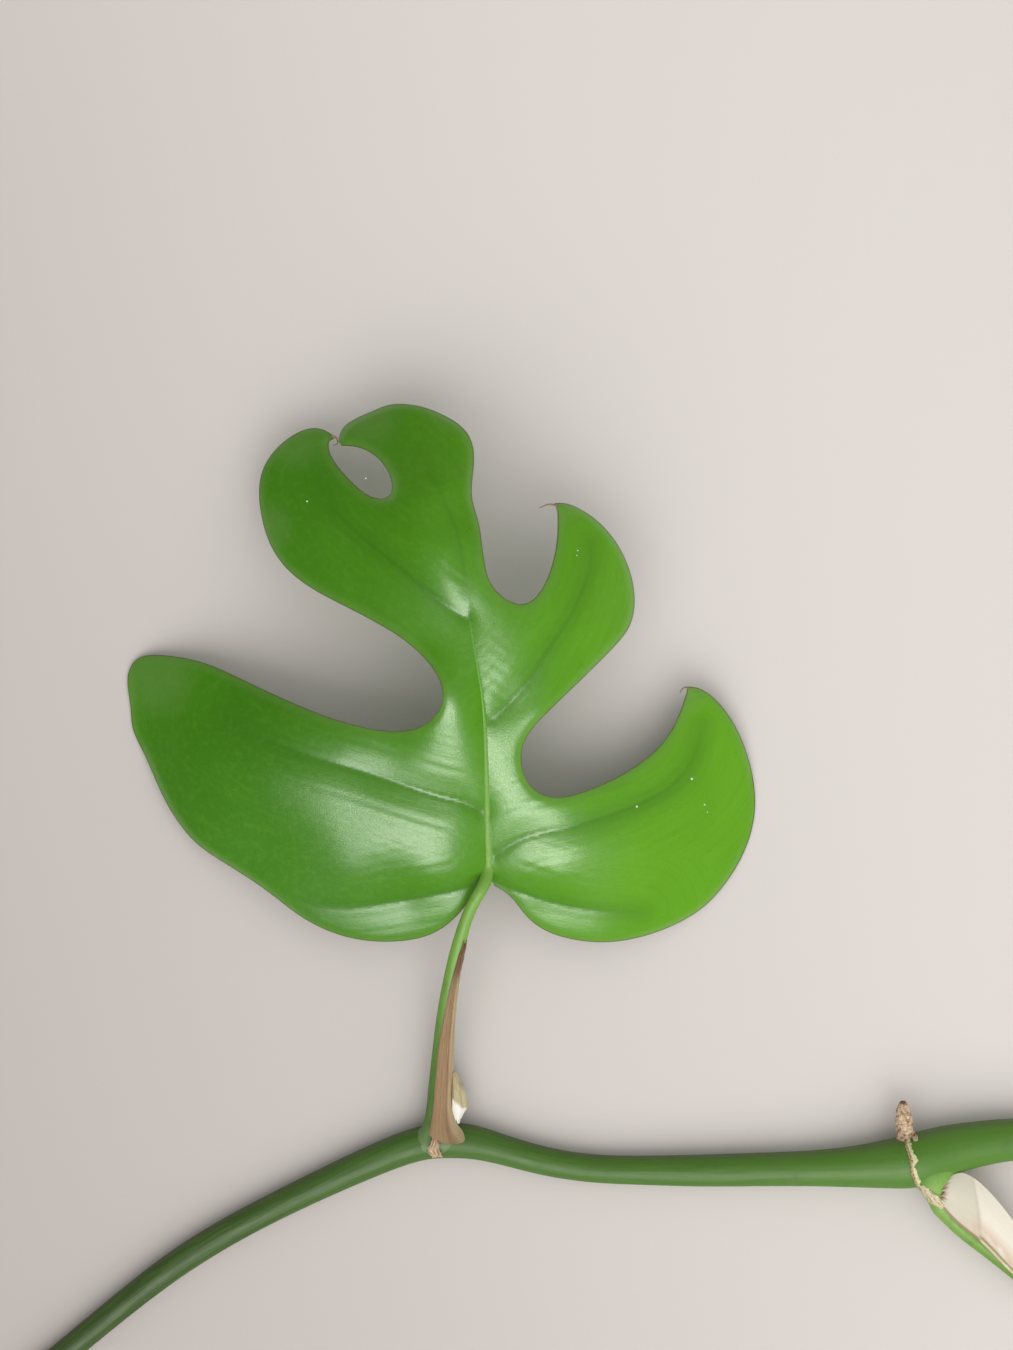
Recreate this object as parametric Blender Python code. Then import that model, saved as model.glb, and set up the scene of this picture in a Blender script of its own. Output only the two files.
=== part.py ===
"""Mini monstera cutting, laid on a surface with its split leaf facing up.

A length of green vine stem with two nodes. The first node carries the leaf, with its dried brown
sheath and a papery scale in the axil. The second carries the stub of an aerial root, a dried collar
and the cut stalk of the next leaf with its pale sheath. Lengths are millimetres unless a name says
otherwise. X runs along the vine, Y from the vine to the leaf's end and Z up from the surface.
"""

import math

import bmesh
import bpy
import numpy as np
from mathutils.geometry import delaunay_2d_cdt

METRES_PER_MM = 0.001

# Clearance between pieces that touch, and the thickness of everything thin
GAP = 0.3
BLADE_THICKNESS = 0.7
DRY_THICKNESS = 0.6

# Sizes of the facets
BLADE_SPACING = 3.3
MARGIN_STEP = 2.6
STEM_STEP = 4.5
STEM_SIDES = 16
STALK_SIDES = 12

# Stem: x, y and diameter at each place, from the lower left cut to the right cut
STEM_ROUTE = (
    (-121.5, -112.5, 5.7), (-101.0, -95.5, 5.8), (-81.5, -80.5, 6.2), (-60.5, -68.5, 6.3),
    (-40.0, -58.8, 7.0), (-28.0, -54.2, 7.6), (-21.5, -53.3, 8.0), (-15.5, -53.8, 7.6),
    (-9.0, -55.5, 6.8), (0.0, -58.0, 6.4), (11.0, -59.8, 6.3), (22.5, -60.3, 6.5),
    (36.0, -60.3, 7.1), (50.5, -60.0, 7.5), (61.5, -59.7, 8.0), (71.0, -59.2, 9.2),
    (79.0, -58.4, 10.9), (85.0, -57.4, 12.0), (92.0, -55.4, 11.2), (99.0, -54.0, 10.2),
    (107.5, -53.0, 9.4), (121.5, -52.6, 9.1),
)

# Leaf stalk: x, y, z and radius from the first node to the blade
STALK_ROUTE = (
    (-23.6, -55.0, 5.0, 4.5), (-23.6, -50.5, 5.1, 4.1), (-23.4, -46.6, 5.3, 3.1), (-23.1, -42.0, 5.6, 2.7),
    (-22.4, -32.2, 7.2, 2.3), (-21.6, -23.7, 9.0, 2.0), (-20.4, -15.8, 10.8, 1.8), (-18.9, -8.8, 12.4, 1.7),
    (-17.3, -3.0, 14.1, 1.6), (-15.3, 2.0, 15.8, 1.7), (-12.9, 6.0, 17.2, 1.8),
)
# The midrib stands out below the blade: distance up the blade and radius
KEEL = ((6.0, 1.5), (14.0, 1.1), (26.0, 0.8), (38.0, 0.6))

# Leaf blade: where its base sits, then places measured from that base
BLADE_BASE = (-12.5, 5.6)
# Its margin, clockwise, in five smooth stretches that meet at the tips of the lobes
MARGIN = {
    "left lobes": (
        (-2.2, -0.2), (-4.5, -4.2), (-9.0, -9.0), (-14.9, -12.0), (-23.6, -13.0), (-33.1, -11.6),
        (-42.2, -7.3), (-50.9, -0.9), (-62.8, 6.4), (-67.9, 10.5), (-73.3, 18.2), (-78.1, 28.3),
        (-81.2, 34.9), (-81.8, 40.2), (-82.4, 46.8), (-79.7, 51.2), (-71.7, 51.6), (-63.8, 50.0),
        (-53.1, 45.6), (-39.2, 39.7), (-29.6, 36.5), (-20.1, 35.0), (-13.0, 36.7), (-9.4, 41.2),
        (-9.9, 46.2), (-14.0, 51.7), (-19.6, 56.2), (-29.9, 61.9), (-40.7, 67.9), (-47.5, 75.0),
        (-50.8, 84.8), (-50.4, 93.3), (-46.0, 99.5), (-40.0, 102.8), (-36.2, 102.3), (-34.3, 101.0),
    ),
    "window": (
        (-34.2, 100.2), (-35.0, 99.9), (-35.2, 98.2), (-33.6, 94.7), (-28.9, 89.3), (-24.1, 86.1),
        (-21.0, 86.5), (-20.6, 89.8), (-24.0, 95.3), (-28.7, 98.0), (-32.2, 98.5),
    ),
    "end lobe": (
        (-33.0, 99.4), (-32.7, 101.3), (-31.0, 103.7), (-25.1, 106.4), (-21.4, 107.6), (-15.1, 107.1),
        (-8.6, 104.4), (-4.4, 101.1), (-2.6, 96.2), (-2.9, 89.4), (-2.8, 85.1), (-1.4, 80.0),
        (0.0, 70.8), (2.5, 65.3), (7.7, 62.6), (11.4, 64.7), (14.2, 70.2), (15.7, 77.3), (15.8, 83.4),
    ),
    "right upper lobe": (
        (15.2, 85.1), (17.9, 85.1), (24.0, 82.1), (29.8, 75.6), (33.0, 66.7), (32.3, 58.9),
        (27.5, 52.6), (16.3, 41.8), (9.5, 34.5), (7.9, 29.6), (9.5, 23.6), (13.9, 20.6),
        (19.4, 20.9), (29.8, 24.9), (38.3, 30.7), (42.7, 36.6), (45.3, 43.2),
    ),
    "right lower lobe": (
        (45.6, 44.7), (48.9, 44.0), (54.5, 39.1), (59.3, 30.2), (61.7, 19.0), (59.5, 7.5),
        (52.6, -3.2), (45.2, -8.8), (33.8, -12.6), (23.0, -13.0), (13.9, -10.6), (8.9, -6.7),
        (5.3, -2.2), (1.6, 0.2),
    ),
}
# Its height above the surface at places that set its form, lobe by lobe
HEIGHTS = {
    "midrib": (
        (0.0, 0.0, 16.5), (0.5, 11.0, 20.5), (0.0, 28.5, 26.5), (-1.5, 46.0, 31.5), (-3.5, 63.5, 34.4),
        (-6.5, 76.5, 34.5), (-10.0, 87.5, 31.5), (-18.0, 107.5, 17.0),
    ),
    "left lobe": (
        (-10.5, -10.0, 11.6), (-25.0, -13.0, 8.8), (-42.0, -7.0, 8.0), (-56.0, 2.5, 6.0), (-70.0, 13.0, 3.2),
        (-81.0, 34.5, 0.0), (-82.5, 48.0, 0.4), (-74.5, 51.5, 3.5), (-60.0, 48.5, 10.0), (-39.0, 40.0, 20.8),
        (-20.0, 35.0, 25.3), (-12.5, 12.0, 21.8), (-13.0, 3.5, 18.8), (-30.0, 13.0, 19.8), (-31.0, 4.0, 16.4),
        (-18.0, -3.2, 13.6), (-33.0, -4.8, 11.2), (-9.5, 43.0, 32.6), (-8.0, 30.0, 27.8),
        (-48.5, 22.5, 17.6), (-32.0, 29.0, 23.0), (-20.0, 26.5, 24.2), (-50.0, 10.0, 11.5), (-65.0, 31.5, 10.8),
    ),
    "upper left lobe": (
        (-14.0, 52.0, 29.0), (-30.0, 62.0, 22.5), (-41.5, 68.5, 16.5), (-51.0, 84.5, 11.5), (-46.0, 100.0, 10.5),
        (-34.0, 101.0, 13.0), (-34.5, 81.5, 21.0), (-22.0, 86.0, 26.0), (-18.5, 66.0, 29.5),
    ),
    "end lobe": (
        (-32.0, 98.5, 15.5), (-31.0, 104.0, 13.0), (-8.5, 104.5, 20.0), (-3.0, 94.5, 24.5), (-2.5, 83.0, 30.0),
    ),
    "right upper lobe": (
        (7.5, 62.5, 32.2), (15.5, 82.5, 23.5), (25.0, 81.5, 18.0), (33.0, 66.5, 15.0), (25.0, 50.0, 21.0),
        (13.0, 38.5, 27.0), (19.5, 61.5, 26.5), (5.0, 49.0, 30.8), (5.5, 41.0, 28.6),
    ),
    "right lower lobe": (
        (8.0, 29.5, 25.5), (15.0, 20.5, 23.0), (30.0, 25.0, 17.5), (43.5, 37.5, 10.5), (46.0, 44.0, 9.0),
        (58.0, 32.5, 3.2), (61.5, 17.5, 0.0), (57.0, 2.0, 0.9), (44.0, -9.0, 3.0), (26.0, -13.0, 8.2),
        (10.0, -8.0, 11.6), (16.5, 8.0, 19.9), (16.0, 3.0, 18.0), (15.0, -3.4, 13.6), (34.5, 10.5, 15.8), (48.5, 19.0, 9.3),
    ),
}
FORM_SOFTNESS = 1.5
# Each vein is a crease: its depth, the width over which it fades, then its course from the midrib
VEINS = {
    "midrib": (1.7, 5.5, (
        (0.7, 1.0), (0.5, 11.0), (0.3, 20.0), (-0.3, 37.5), (-1.6, 48.5), (-3.3, 59.0), (-4.2, 67.5),
        (-5.5, 75.5), (-7.7, 82.0), (-10.3, 88.0), (-13.5, 94.5), (-16.0, 101.0),
    )),
    "left main": (1.5, 5.0, (
        (-1.2, 17.2), (-4.6, 19.2), (-10.0, 20.7), (-19.0, 23.5), (-30.0, 27.0), (-39.0, 29.5), (-48.5, 33.0),
        (-57.5, 38.0),
    )),
    "left lower": (1.1, 4.0, (
        (-1.6, 1.3), (-5.8, -0.5), (-10.2, -1.4), (-19.5, -3.2), (-30.5, -4.9), (-39.5, -4.7),
    )),
    "upper left": (1.2, 5.0, (
        (-4.6, 59.8), (-10.0, 63.5), (-16.5, 69.0), (-22.0, 73.5), (-27.5, 78.0), (-33.5, 84.0), (-37.5, 90.5),
    )),
    "right upper": (0.9, 4.5, (
        (1.4, 37.7), (3.1, 39.0), (6.0, 42.0), (9.0, 45.5), (12.0, 50.5), (15.0, 55.0), (18.0, 59.5),
        (20.0, 63.5), (22.5, 70.0), (23.0, 76.0),
    )),
    "right main": (1.0, 4.5, (
        (1.9, 7.2), (5.3, 9.6), (9.7, 11.8), (16.5, 13.3), (25.5, 15.6), (34.5, 18.7), (41.5, 22.5),
        (45.0, 26.0), (47.5, 30.5), (49.0, 36.0),
    )),
    "right lower": (1.0, 4.0, (
        (2.1, 1.4), (5.3, -0.3), (9.8, -1.8), (14.5, -3.3), (20.0, -4.6), (25.5, -5.4), (35.0, -6.2),
    )),
}
VEIN_STEP = 2.8

# Dried sheath along the leaf stalk. Columns run round the stalk from its front to its right side:
# angle from the right side, where the column starts above the node and its flare at the node
SHEATH_COLUMNS = (
    (108.0, -3.6, 0.9), (90.0, 0.9, 0.5), (72.0, 0.7, 0.6), (54.0, -0.1, 2.0), (40.0, 1.4, 4.2),
    (22.0, 4.6, 1.0), (0.0, 5.2, 0.3), (-22.0, 5.8, 0.2),
)
SHEATH_LENGTH = 48.0
SHEATH_TIP_ANGLE = 28.0
SHEATH_ROWS = 18
SHEATH_STAND_OFF = 0.75

# Papery scale in the axil of the leaf stalk: half a tube that narrows to a tip
SCALE_AXIS = (-18.1, 3.4)
SCALE_RADIUS = 2.1
SCALE_HEIGHT = 10.5
SCALE_ANGLES = (-70.0, 95.0)

# Stub of the aerial root: from inside the second node to its dark tip, then its girth along the way
ROOT_BASE = (82.8, -54.0, 6.4)
ROOT_TIP = (82.0, -43.8, 7.0)
ROOT_RADII = (1.6, 1.75, 1.9, 1.82, 1.95, 1.87, 2.0, 1.88, 1.85, 1.62, 1.5, 1.1, 0.55)

# Dried collar round the second node: angle from the node's leaf side, then x
COLLAR_PATH = ((30.0, 83.6), (50.0, 83.2), (75.0, 83.3), (100.0, 83.8), (122.0, 84.5), (138.0, 85.3))
COLLAR_WIDTH = 1.1
COLLAR_STAND_OFF = 0.8

# Cut stalk of the next leaf: x, y, z and radius
SECOND_STALK_ROUTE = (
    (86.0, -59.0, 6.6, 3.2), (88.3, -64.6, 6.2, 2.8), (91.6, -68.8, 5.6, 2.2), (95.8, -73.1, 5.0, 2.0),
    (101.2, -77.5, 4.4, 1.9), (107.0, -82.3, 3.8, 1.75), (114.0, -88.1, 3.2, 1.65),
)
# Its pale sheath, from the stalk's upper side out to this free edge
WING_START = 5.0
WING_SEAT_ANGLE = 105.0
WING_EDGE = (
    (91.4, -62.4, 8.7), (95.0, -60.4, 8.5), (99.1, -62.2, 9.0), (103.6, -66.9, 9.2), (107.3, -71.0, 8.8),
    (112.0, -77.4, 8.0),
)
WING_BULGE = 1.2
WING_COLUMNS = 7
WING_ROWS = 12


def clear_scene():
    """Start from an empty scene."""
    for obj in list(bpy.data.objects):
        bpy.data.objects.remove(obj, do_unlink=True)


def finish_material(name, colour, roughness):
    """One plain finish, with the piece's colour."""
    material = bpy.data.materials.new(name)
    material.use_nodes = True
    shader = material.node_tree.nodes["Principled BSDF"]
    shader.inputs["Base Color"].default_value = (*colour, 1.0)
    shader.inputs["Roughness"].default_value = roughness
    shader.inputs["Metallic"].default_value = 0.0
    return material


def add_piece(name, vertices, faces, material):
    """A closed mesh as a named object, with its faces pointing out."""
    mesh = bpy.data.meshes.new(name)
    mesh.from_pydata([tuple(float(c) * METRES_PER_MM for c in v) for v in vertices], [], faces)
    shape = bmesh.new()
    shape.from_mesh(mesh)
    bmesh.ops.recalc_face_normals(shape, faces=shape.faces)
    shape.to_mesh(mesh)
    shape.free()
    mesh.shade_smooth()
    piece = bpy.data.objects.new(name, mesh)
    piece.data.materials.append(material)
    bpy.context.scene.collection.objects.link(piece)
    return piece


def apply_boolean(piece, other, operation):
    """Join the other shape to a piece or cut it away, and keep the result in the piece's own mesh."""
    change = piece.modifiers.new(operation.title(), "BOOLEAN")
    change.operation = operation
    change.object = other
    change.solver = "EXACT"
    graph = bpy.context.evaluated_depsgraph_get()
    result = bpy.data.meshes.new_from_object(piece.evaluated_get(graph))
    piece.modifiers.remove(change)
    result.name = piece.name
    piece.data = result


def smooth_curve(points, step):
    """Places about one step apart along a smooth curve through the points, in any number of columns."""
    knots = np.array(points, float)
    count = len(knots)
    chords = np.linalg.norm(np.diff(knots[:, :2], axis=0), axis=1)
    spans = np.sqrt(chords)
    system = np.eye(count)
    right = np.zeros_like(knots)
    for i in range(1, count - 1):
        system[i, i - 1:i + 2] = (spans[i - 1], 2 * (spans[i - 1] + spans[i]), spans[i])
        rise_after = (knots[i + 1] - knots[i]) / spans[i]
        rise_before = (knots[i] - knots[i - 1]) / spans[i - 1]
        right[i] = 6 * (rise_after - rise_before)
    bends = np.linalg.solve(system, right)
    places = []
    for i in range(count - 1):
        span = spans[i]
        pieces = max(1, round(chords[i] / step))
        for j in range(pieces):
            after = span * j / pieces
            before = span - after
            curve = (bends[i] * before ** 3 + bends[i + 1] * after ** 3) / (6 * span)
            curve += (knots[i] / span - bends[i] * span / 6) * before
            curve += (knots[i + 1] / span - bends[i + 1] * span / 6) * after
            places.append(curve)
    places.append(knots[-1])
    return np.array(places)


def unit(vectors):
    """Vectors of length one."""
    return vectors / np.linalg.norm(vectors, axis=-1, keepdims=True)


def frames(centres):
    """The right-hand and upward directions across a route, seen along it."""
    along = unit(np.gradient(centres, axis=0))
    side = unit(np.cross(along, (0.0, 0.0, 1.0)))
    return side, np.cross(side, along)


def tube(centres, radii, sides):
    """A solid round bar along a route, with a flat facet underneath and flat ends."""
    side, up = frames(centres)
    turns = (np.arange(sides) + 0.5) * math.tau / sides - math.pi / 2
    vertices = []
    for centre, radius, right, rise in zip(centres, radii, side, up):
        for turn in turns:
            vertices.append(centre + radius * (math.cos(turn) * right + math.sin(turn) * rise))
    faces = [tuple(range(sides)), tuple(range((len(centres) - 1) * sides, len(centres) * sides))]
    for ring in range(len(centres) - 1):
        for k in range(sides):
            a = ring * sides + k
            b = ring * sides + (k + 1) % sides
            faces.append((a, b, b + sides, a + sides))
    return vertices, faces


def ribbon(grid, thickness):
    """A thin sheet over a grid of places, split into triangles alike on both faces."""
    rows, columns = grid.shape[:2]
    normals = unit(np.cross(np.gradient(grid, axis=0), np.gradient(grid, axis=1)))
    upper = (grid + normals * thickness / 2).reshape(-1, 3)
    lower = (grid - normals * thickness / 2).reshape(-1, 3)
    count = rows * columns
    faces = []
    for i in range(rows - 1):
        for j in range(columns - 1):
            a = i * columns + j
            for triangle in ((a, a + 1, a + columns + 1), (a, a + columns + 1, a + columns)):
                faces.append(triangle)
                faces.append(tuple(v + count for v in reversed(triangle)))
    rim = [j for j in range(columns)]
    rim += [i * columns + columns - 1 for i in range(1, rows)]
    rim += [(rows - 1) * columns + j for j in range(columns - 2, -1, -1)]
    rim += [i * columns for i in range(rows - 2, 0, -1)]
    for a, b in zip(rim, rim[1:] + rim[:1]):
        faces.append((a, a + count, b + count))
        faces.append((a, b + count, b))
    return np.vstack((upper, lower)), faces


def stem_course():
    """The middle of the stem and its radius. Its underside lies flat on the surface."""
    places = smooth_curve(STEM_ROUTE, STEM_STEP)
    radii = places[:, 2] / 2
    heights = radii * math.cos(math.pi / STEM_SIDES)
    return np.column_stack((places[:, :2], heights)), radii


def stem_at(x):
    """The stem's middle in y and z, and its radius, at one place along it."""
    centres, radii = stem_course()
    return tuple(float(np.interp(x, centres[:, 0], values)) for values in (centres[:, 1], centres[:, 2], radii))


def make_stem(material):
    """The vine stem, swollen at its two nodes and cut at both ends."""
    centres, radii = stem_course()
    return add_piece("stem", *tube(centres, radii, STEM_SIDES), material)


def make_stem_clearance():
    """A guide: the stem with its clearance, which trims what grows from it."""
    centres, radii = stem_course()
    guide = add_piece("stem_clearance", *tube(centres, radii + GAP, 2 * STEM_SIDES), None)
    guide.hide_render = True
    guide.display_type = "WIRE"
    return guide


def form_weights():
    """A smooth sheet through the chosen heights, as the weights of its terms."""
    places = np.array([row for rows in HEIGHTS.values() for row in rows])
    flat = places[:, :2]
    count = len(flat)
    terms = np.column_stack((np.ones(count), flat))
    system = np.zeros((count + 3, count + 3))
    system[:count, :count] = sheet_term(flat, flat) + FORM_SOFTNESS * np.eye(count)
    system[:count, count:] = terms
    system[count:, :count] = terms.T
    return flat, np.linalg.solve(system, np.append(places[:, 2], (0.0, 0.0, 0.0)))


def sheet_term(places, anchors):
    """How a bent sheet rises with its distance from each anchor."""
    squares = ((places[:, None] - anchors[None]) ** 2).sum(axis=-1)
    return 0.5 * squares * np.log(np.maximum(squares, 1e-9))


def crease_depth(places, course, depth, width):
    """How far a vein sinks the blade: deepest on its course, and fading out to its end."""
    starts = course[:-1]
    runs = np.diff(course, axis=0)
    lengths = np.linalg.norm(runs, axis=1)
    travelled = np.concatenate(([0.0], np.cumsum(lengths)))
    offsets = places[:, None] - starts[None]
    share = np.clip((offsets * runs).sum(axis=-1) / lengths ** 2, 0.0, 1.0)
    distances = np.linalg.norm(offsets - share[..., None] * runs, axis=-1)
    nearest = distances.argmin(axis=1)
    rows = np.arange(len(places))
    reached = travelled[nearest] + share[rows, nearest] * lengths[nearest]
    fade = np.sqrt(1.0 - 0.96 * reached / travelled[-1])
    return depth * fade * np.exp(-distances[rows, nearest] / width)


def blade_height(places, form, courses):
    """The height of the middle of the blade's thickness. Where it meets the surface it lies flat."""
    anchors, weights = form
    height = sheet_term(places, anchors) @ weights[:-3] + weights[-3] + places @ weights[-2:]
    for name, (depth, width, _) in VEINS.items():
        height -= crease_depth(places, courses[name], depth, width)
    return np.maximum(height, BLADE_THICKNESS / 2)


def blade_pattern(courses):
    """The blade seen from above: places, and triangles between them that follow the veins."""
    margin = np.vstack([smooth_curve(points, MARGIN_STEP) for points in MARGIN.values()])
    fixed = [margin]
    edges = []
    first = len(margin)
    for course in courses.values():
        fixed.append(course)
        edges += [(first + i, first + i + 1) for i in range(len(course) - 1)]
        first += len(course)
    fixed = np.vstack(fixed)
    low = margin.min(axis=0)
    high = margin.max(axis=0)
    row_height = BLADE_SPACING * math.sqrt(3) / 2
    filling = []
    for row in range(int((high[1] - low[1]) / row_height) + 1):
        shift = BLADE_SPACING / 2 * (row % 2)
        for x in np.arange(low[0] + shift, high[0], BLADE_SPACING):
            filling.append((x, low[1] + row * row_height))
    filling = np.array(filling)
    reach = np.linalg.norm(filling[:, None] - fixed[None], axis=-1).min(axis=1)
    places = np.vstack((fixed, filling[reach > 0.62 * BLADE_SPACING]))
    outline = list(range(len(margin)))
    inside_only = 1
    found = delaunay_2d_cdt([tuple(p) for p in places], edges, [outline], inside_only, 1e-5)
    corners = np.array([tuple(v) for v in found[0]])
    triangles = [tuple(face) for face in found[2]]
    used = sorted({v for face in triangles for v in face})
    order = {v: i for i, v in enumerate(used)}
    return corners[used], [tuple(order[v] for v in face) for face in triangles]


def blade_normals(places, form, courses):
    """Upward directions across the blade, measured over a short reach."""
    reach = 0.5
    east = blade_height(places + (reach, 0.0), form, courses) - blade_height(places - (reach, 0.0), form, courses)
    north = blade_height(places + (0.0, reach), form, courses) - blade_height(places - (0.0, reach), form, courses)
    return unit(np.column_stack((-east, -north, np.full(len(places), 2 * reach))))


def rim_edges(triangles):
    """The edges that only one triangle uses, in that triangle's own direction."""
    seen = {}
    for a, b, c in triangles:
        for start, end in ((a, b), (b, c), (c, a)):
            if (end, start) in seen:
                del seen[(end, start)]
            else:
                seen[(start, end)] = True
    return list(seen)


def blade_shape(form, courses):
    """The blade as a closed thin solid."""
    places, triangles = blade_pattern(courses)
    heights = blade_height(places, form, courses)
    middle = np.column_stack((places + BLADE_BASE, heights))
    offset = blade_normals(places, form, courses) * BLADE_THICKNESS / 2
    count = len(places)
    faces = list(triangles)
    faces += [tuple(v + count for v in reversed(face)) for face in triangles]
    for a, b in rim_edges(triangles):
        faces.append((b, a, a + count))
        faces.append((b, a + count, b + count))
    return np.vstack((middle + offset, middle - offset)), faces


def stalk_course(step):
    """The leaf stalk's middle and radius at places one step apart."""
    places = smooth_curve(STALK_ROUTE, step)
    return places[:, :3], places[:, 3]


def make_leaf(material, clearance):
    """The leaf: its stalk clasps the first node and runs on as the midrib under the split blade."""
    courses = {name: smooth_curve(course, VEIN_STEP) for name, (_, _, course) in VEINS.items()}
    form = form_weights()
    leaf = add_piece("leaf", *blade_shape(form, courses), material)
    centres, radii = stalk_course(4.0)
    midrib = courses["midrib"]
    along = np.array([distance for distance, _ in KEEL])
    keel_radii = np.array([radius for _, radius in KEEL])
    keel = np.column_stack((np.interp(along, midrib[:, 1], midrib[:, 0]), along))
    keel_heights = blade_height(keel, form, courses) - keel_radii + 0.3
    centres = np.vstack((centres, np.column_stack((keel + BLADE_BASE, keel_heights))))
    radii = np.concatenate((radii, keel_radii))
    stalk = add_piece("stalk_shape", *tube(centres, radii, STALK_SIDES), material)
    apply_boolean(leaf, stalk, "UNION")
    apply_boolean(leaf, clearance, "DIFFERENCE")
    bpy.data.objects.remove(stalk, do_unlink=True)
    return leaf


def make_sheath(material):
    """The dried sheath on the right side of the leaf stalk, flared and ragged at the node."""
    centres, radii = stalk_course(1.0)
    side, up = frames(centres)
    steps = np.linalg.norm(np.diff(centres, axis=0), axis=1)
    travelled = np.concatenate(([0.0], np.cumsum(steps)))
    columns = smooth_curve([(angle, start, flare) for angle, start, flare in SHEATH_COLUMNS], 11.0)
    grid = np.zeros((SHEATH_ROWS, len(columns), 3))
    node = float(np.interp(-53.5, centres[:, 1], travelled))
    for i in range(SHEATH_ROWS):
        share = i / (SHEATH_ROWS - 1)
        narrowing = 1.0 - max(0.0, share - 0.45) / 0.55 * 0.75
        for j, (angle, start, flare) in enumerate(columns):
            distance = node + start + share * (SHEATH_LENGTH - start)
            turn = math.radians(SHEATH_TIP_ANGLE + (angle - SHEATH_TIP_ANGLE) * narrowing)
            reach = float(np.interp(distance, travelled, radii)) + SHEATH_STAND_OFF
            reach += flare * math.exp(-share * SHEATH_LENGTH / 2.6)
            frame = [np.array([np.interp(distance, travelled, values[:, k]) for k in range(3)])
                     for values in (centres, side, up)]
            grid[i, j] = frame[0] + reach * (math.cos(turn) * frame[1] + math.sin(turn) * frame[2])
    return add_piece("leaf_sheath", *ribbon(grid, DRY_THICKNESS), material)


def make_scale(material):
    """The papery scale in the axil, seated on the stem's upper side."""
    axis_x, axis_z = SCALE_AXIS
    rows, columns = 8, 8
    grid = np.zeros((rows, columns, 3))
    for i in range(rows):
        share = i / (rows - 1)
        girth = SCALE_RADIUS * (1.0 - 0.82 * share ** 1.7) * (0.86 + 0.5 * share * (1.0 - share))
        for j in range(columns):
            low, high = SCALE_ANGLES
            turn = math.radians(low + (high - low) * j / (columns - 1))
            x = axis_x + girth * math.cos(turn)
            z = axis_z + girth * math.sin(turn)
            middle_y, middle_z, radius = stem_at(x)
            seat = radius + GAP + 0.1
            foot = middle_y + math.sqrt(max(seat ** 2 - (z - middle_z) ** 2, 0.0))
            grid[i, j] = (x, foot + share * SCALE_HEIGHT, z)
    return add_piece("axil_scale", *ribbon(grid, DRY_THICKNESS), material)


def make_root(material, clearance):
    """The stub of the aerial root, wrinkled in rings."""
    shares = np.linspace(0.0, 1.0, len(ROOT_RADII))[:, None]
    centres = np.array(ROOT_BASE) + shares * (np.array(ROOT_TIP) - np.array(ROOT_BASE))
    root = add_piece("aerial_root", *tube(centres, ROOT_RADII, STALK_SIDES), material)
    apply_boolean(root, clearance, "DIFFERENCE")
    return root


def make_collar(material):
    """The dried collar that runs round the front of the second node."""
    path = smooth_curve(COLLAR_PATH, 9.0)
    grid = np.zeros((len(path), 3, 3))
    for i, (angle, x) in enumerate(path):
        turn = math.radians(angle)
        for j in range(3):
            place = x + (j - 1) * COLLAR_WIDTH / 2
            middle_y, middle_z, radius = stem_at(place)
            reach = radius + COLLAR_STAND_OFF
            grid[i, j] = (place, middle_y + reach * math.cos(turn), middle_z + reach * math.sin(turn))
    return add_piece("node_collar", *ribbon(grid, DRY_THICKNESS), material)


def make_second_stalk(material, clearance):
    """The cut stalk of the next leaf, which clasps the second node."""
    places = smooth_curve(SECOND_STALK_ROUTE, 3.0)
    stalk = add_piece("second_stalk", *tube(places[:, :3], places[:, 3], STALK_SIDES), material)
    apply_boolean(stalk, clearance, "DIFFERENCE")
    return stalk


def make_wing(material):
    """The pale sheath of the second stalk, from the stalk's upper side out to its free edge."""
    places = smooth_curve(SECOND_STALK_ROUTE, 0.5)
    side, up = frames(places[:, :3])
    steps = np.linalg.norm(np.diff(places[:, :3], axis=0), axis=1)
    travelled = np.concatenate(([0.0], np.cumsum(steps)))
    edge = smooth_curve(WING_EDGE, 0.5)
    edge_share = np.linspace(0.0, 1.0, len(edge))
    grid = np.zeros((WING_ROWS, WING_COLUMNS, 3))
    turn = math.radians(WING_SEAT_ANGLE)
    for i in range(WING_ROWS):
        share = i / (WING_ROWS - 1)
        distance = WING_START + share * (travelled[-1] - 1.0 - WING_START)
        here = int(np.searchsorted(travelled, distance))
        reach = places[here, 3] + GAP + DRY_THICKNESS / 2
        seat = places[here, :3] + reach * (math.cos(turn) * side[here] + math.sin(turn) * up[here])
        free = np.array([np.interp(share, edge_share, edge[:, k]) for k in range(3)])
        for j in range(WING_COLUMNS):
            across = j / (WING_COLUMNS - 1)
            grid[i, j] = seat + across * (free - seat)
            grid[i, j, 2] += WING_BULGE * math.sin(math.pi * across)
    return add_piece("second_sheath", *ribbon(grid, DRY_THICKNESS), material)


def main():
    clear_scene()
    stem_green = finish_material("stem green", (0.075, 0.20, 0.03), 0.45)
    leaf_green = finish_material("leaf green", (0.07, 0.25, 0.01), 0.35)
    dry_brown = finish_material("dried sheath brown", (0.30, 0.18, 0.09), 0.8)
    scale_cream = finish_material("papery cream", (0.60, 0.52, 0.33), 0.7)
    root_tan = finish_material("root tan", (0.28, 0.17, 0.10), 0.85)
    collar_tan = finish_material("dried collar tan", (0.42, 0.32, 0.18), 0.8)
    stalk_green = finish_material("young stalk green", (0.12, 0.29, 0.04), 0.45)
    wing_cream = finish_material("pale sheath cream", (0.76, 0.70, 0.55), 0.6)
    clearance = make_stem_clearance()
    make_stem(stem_green)
    make_leaf(leaf_green, clearance)
    make_sheath(dry_brown)
    make_scale(scale_cream)
    make_root(root_tan, clearance)
    make_collar(collar_tan)
    make_second_stalk(stalk_green, clearance)
    make_wing(wing_cream)


main()
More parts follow.
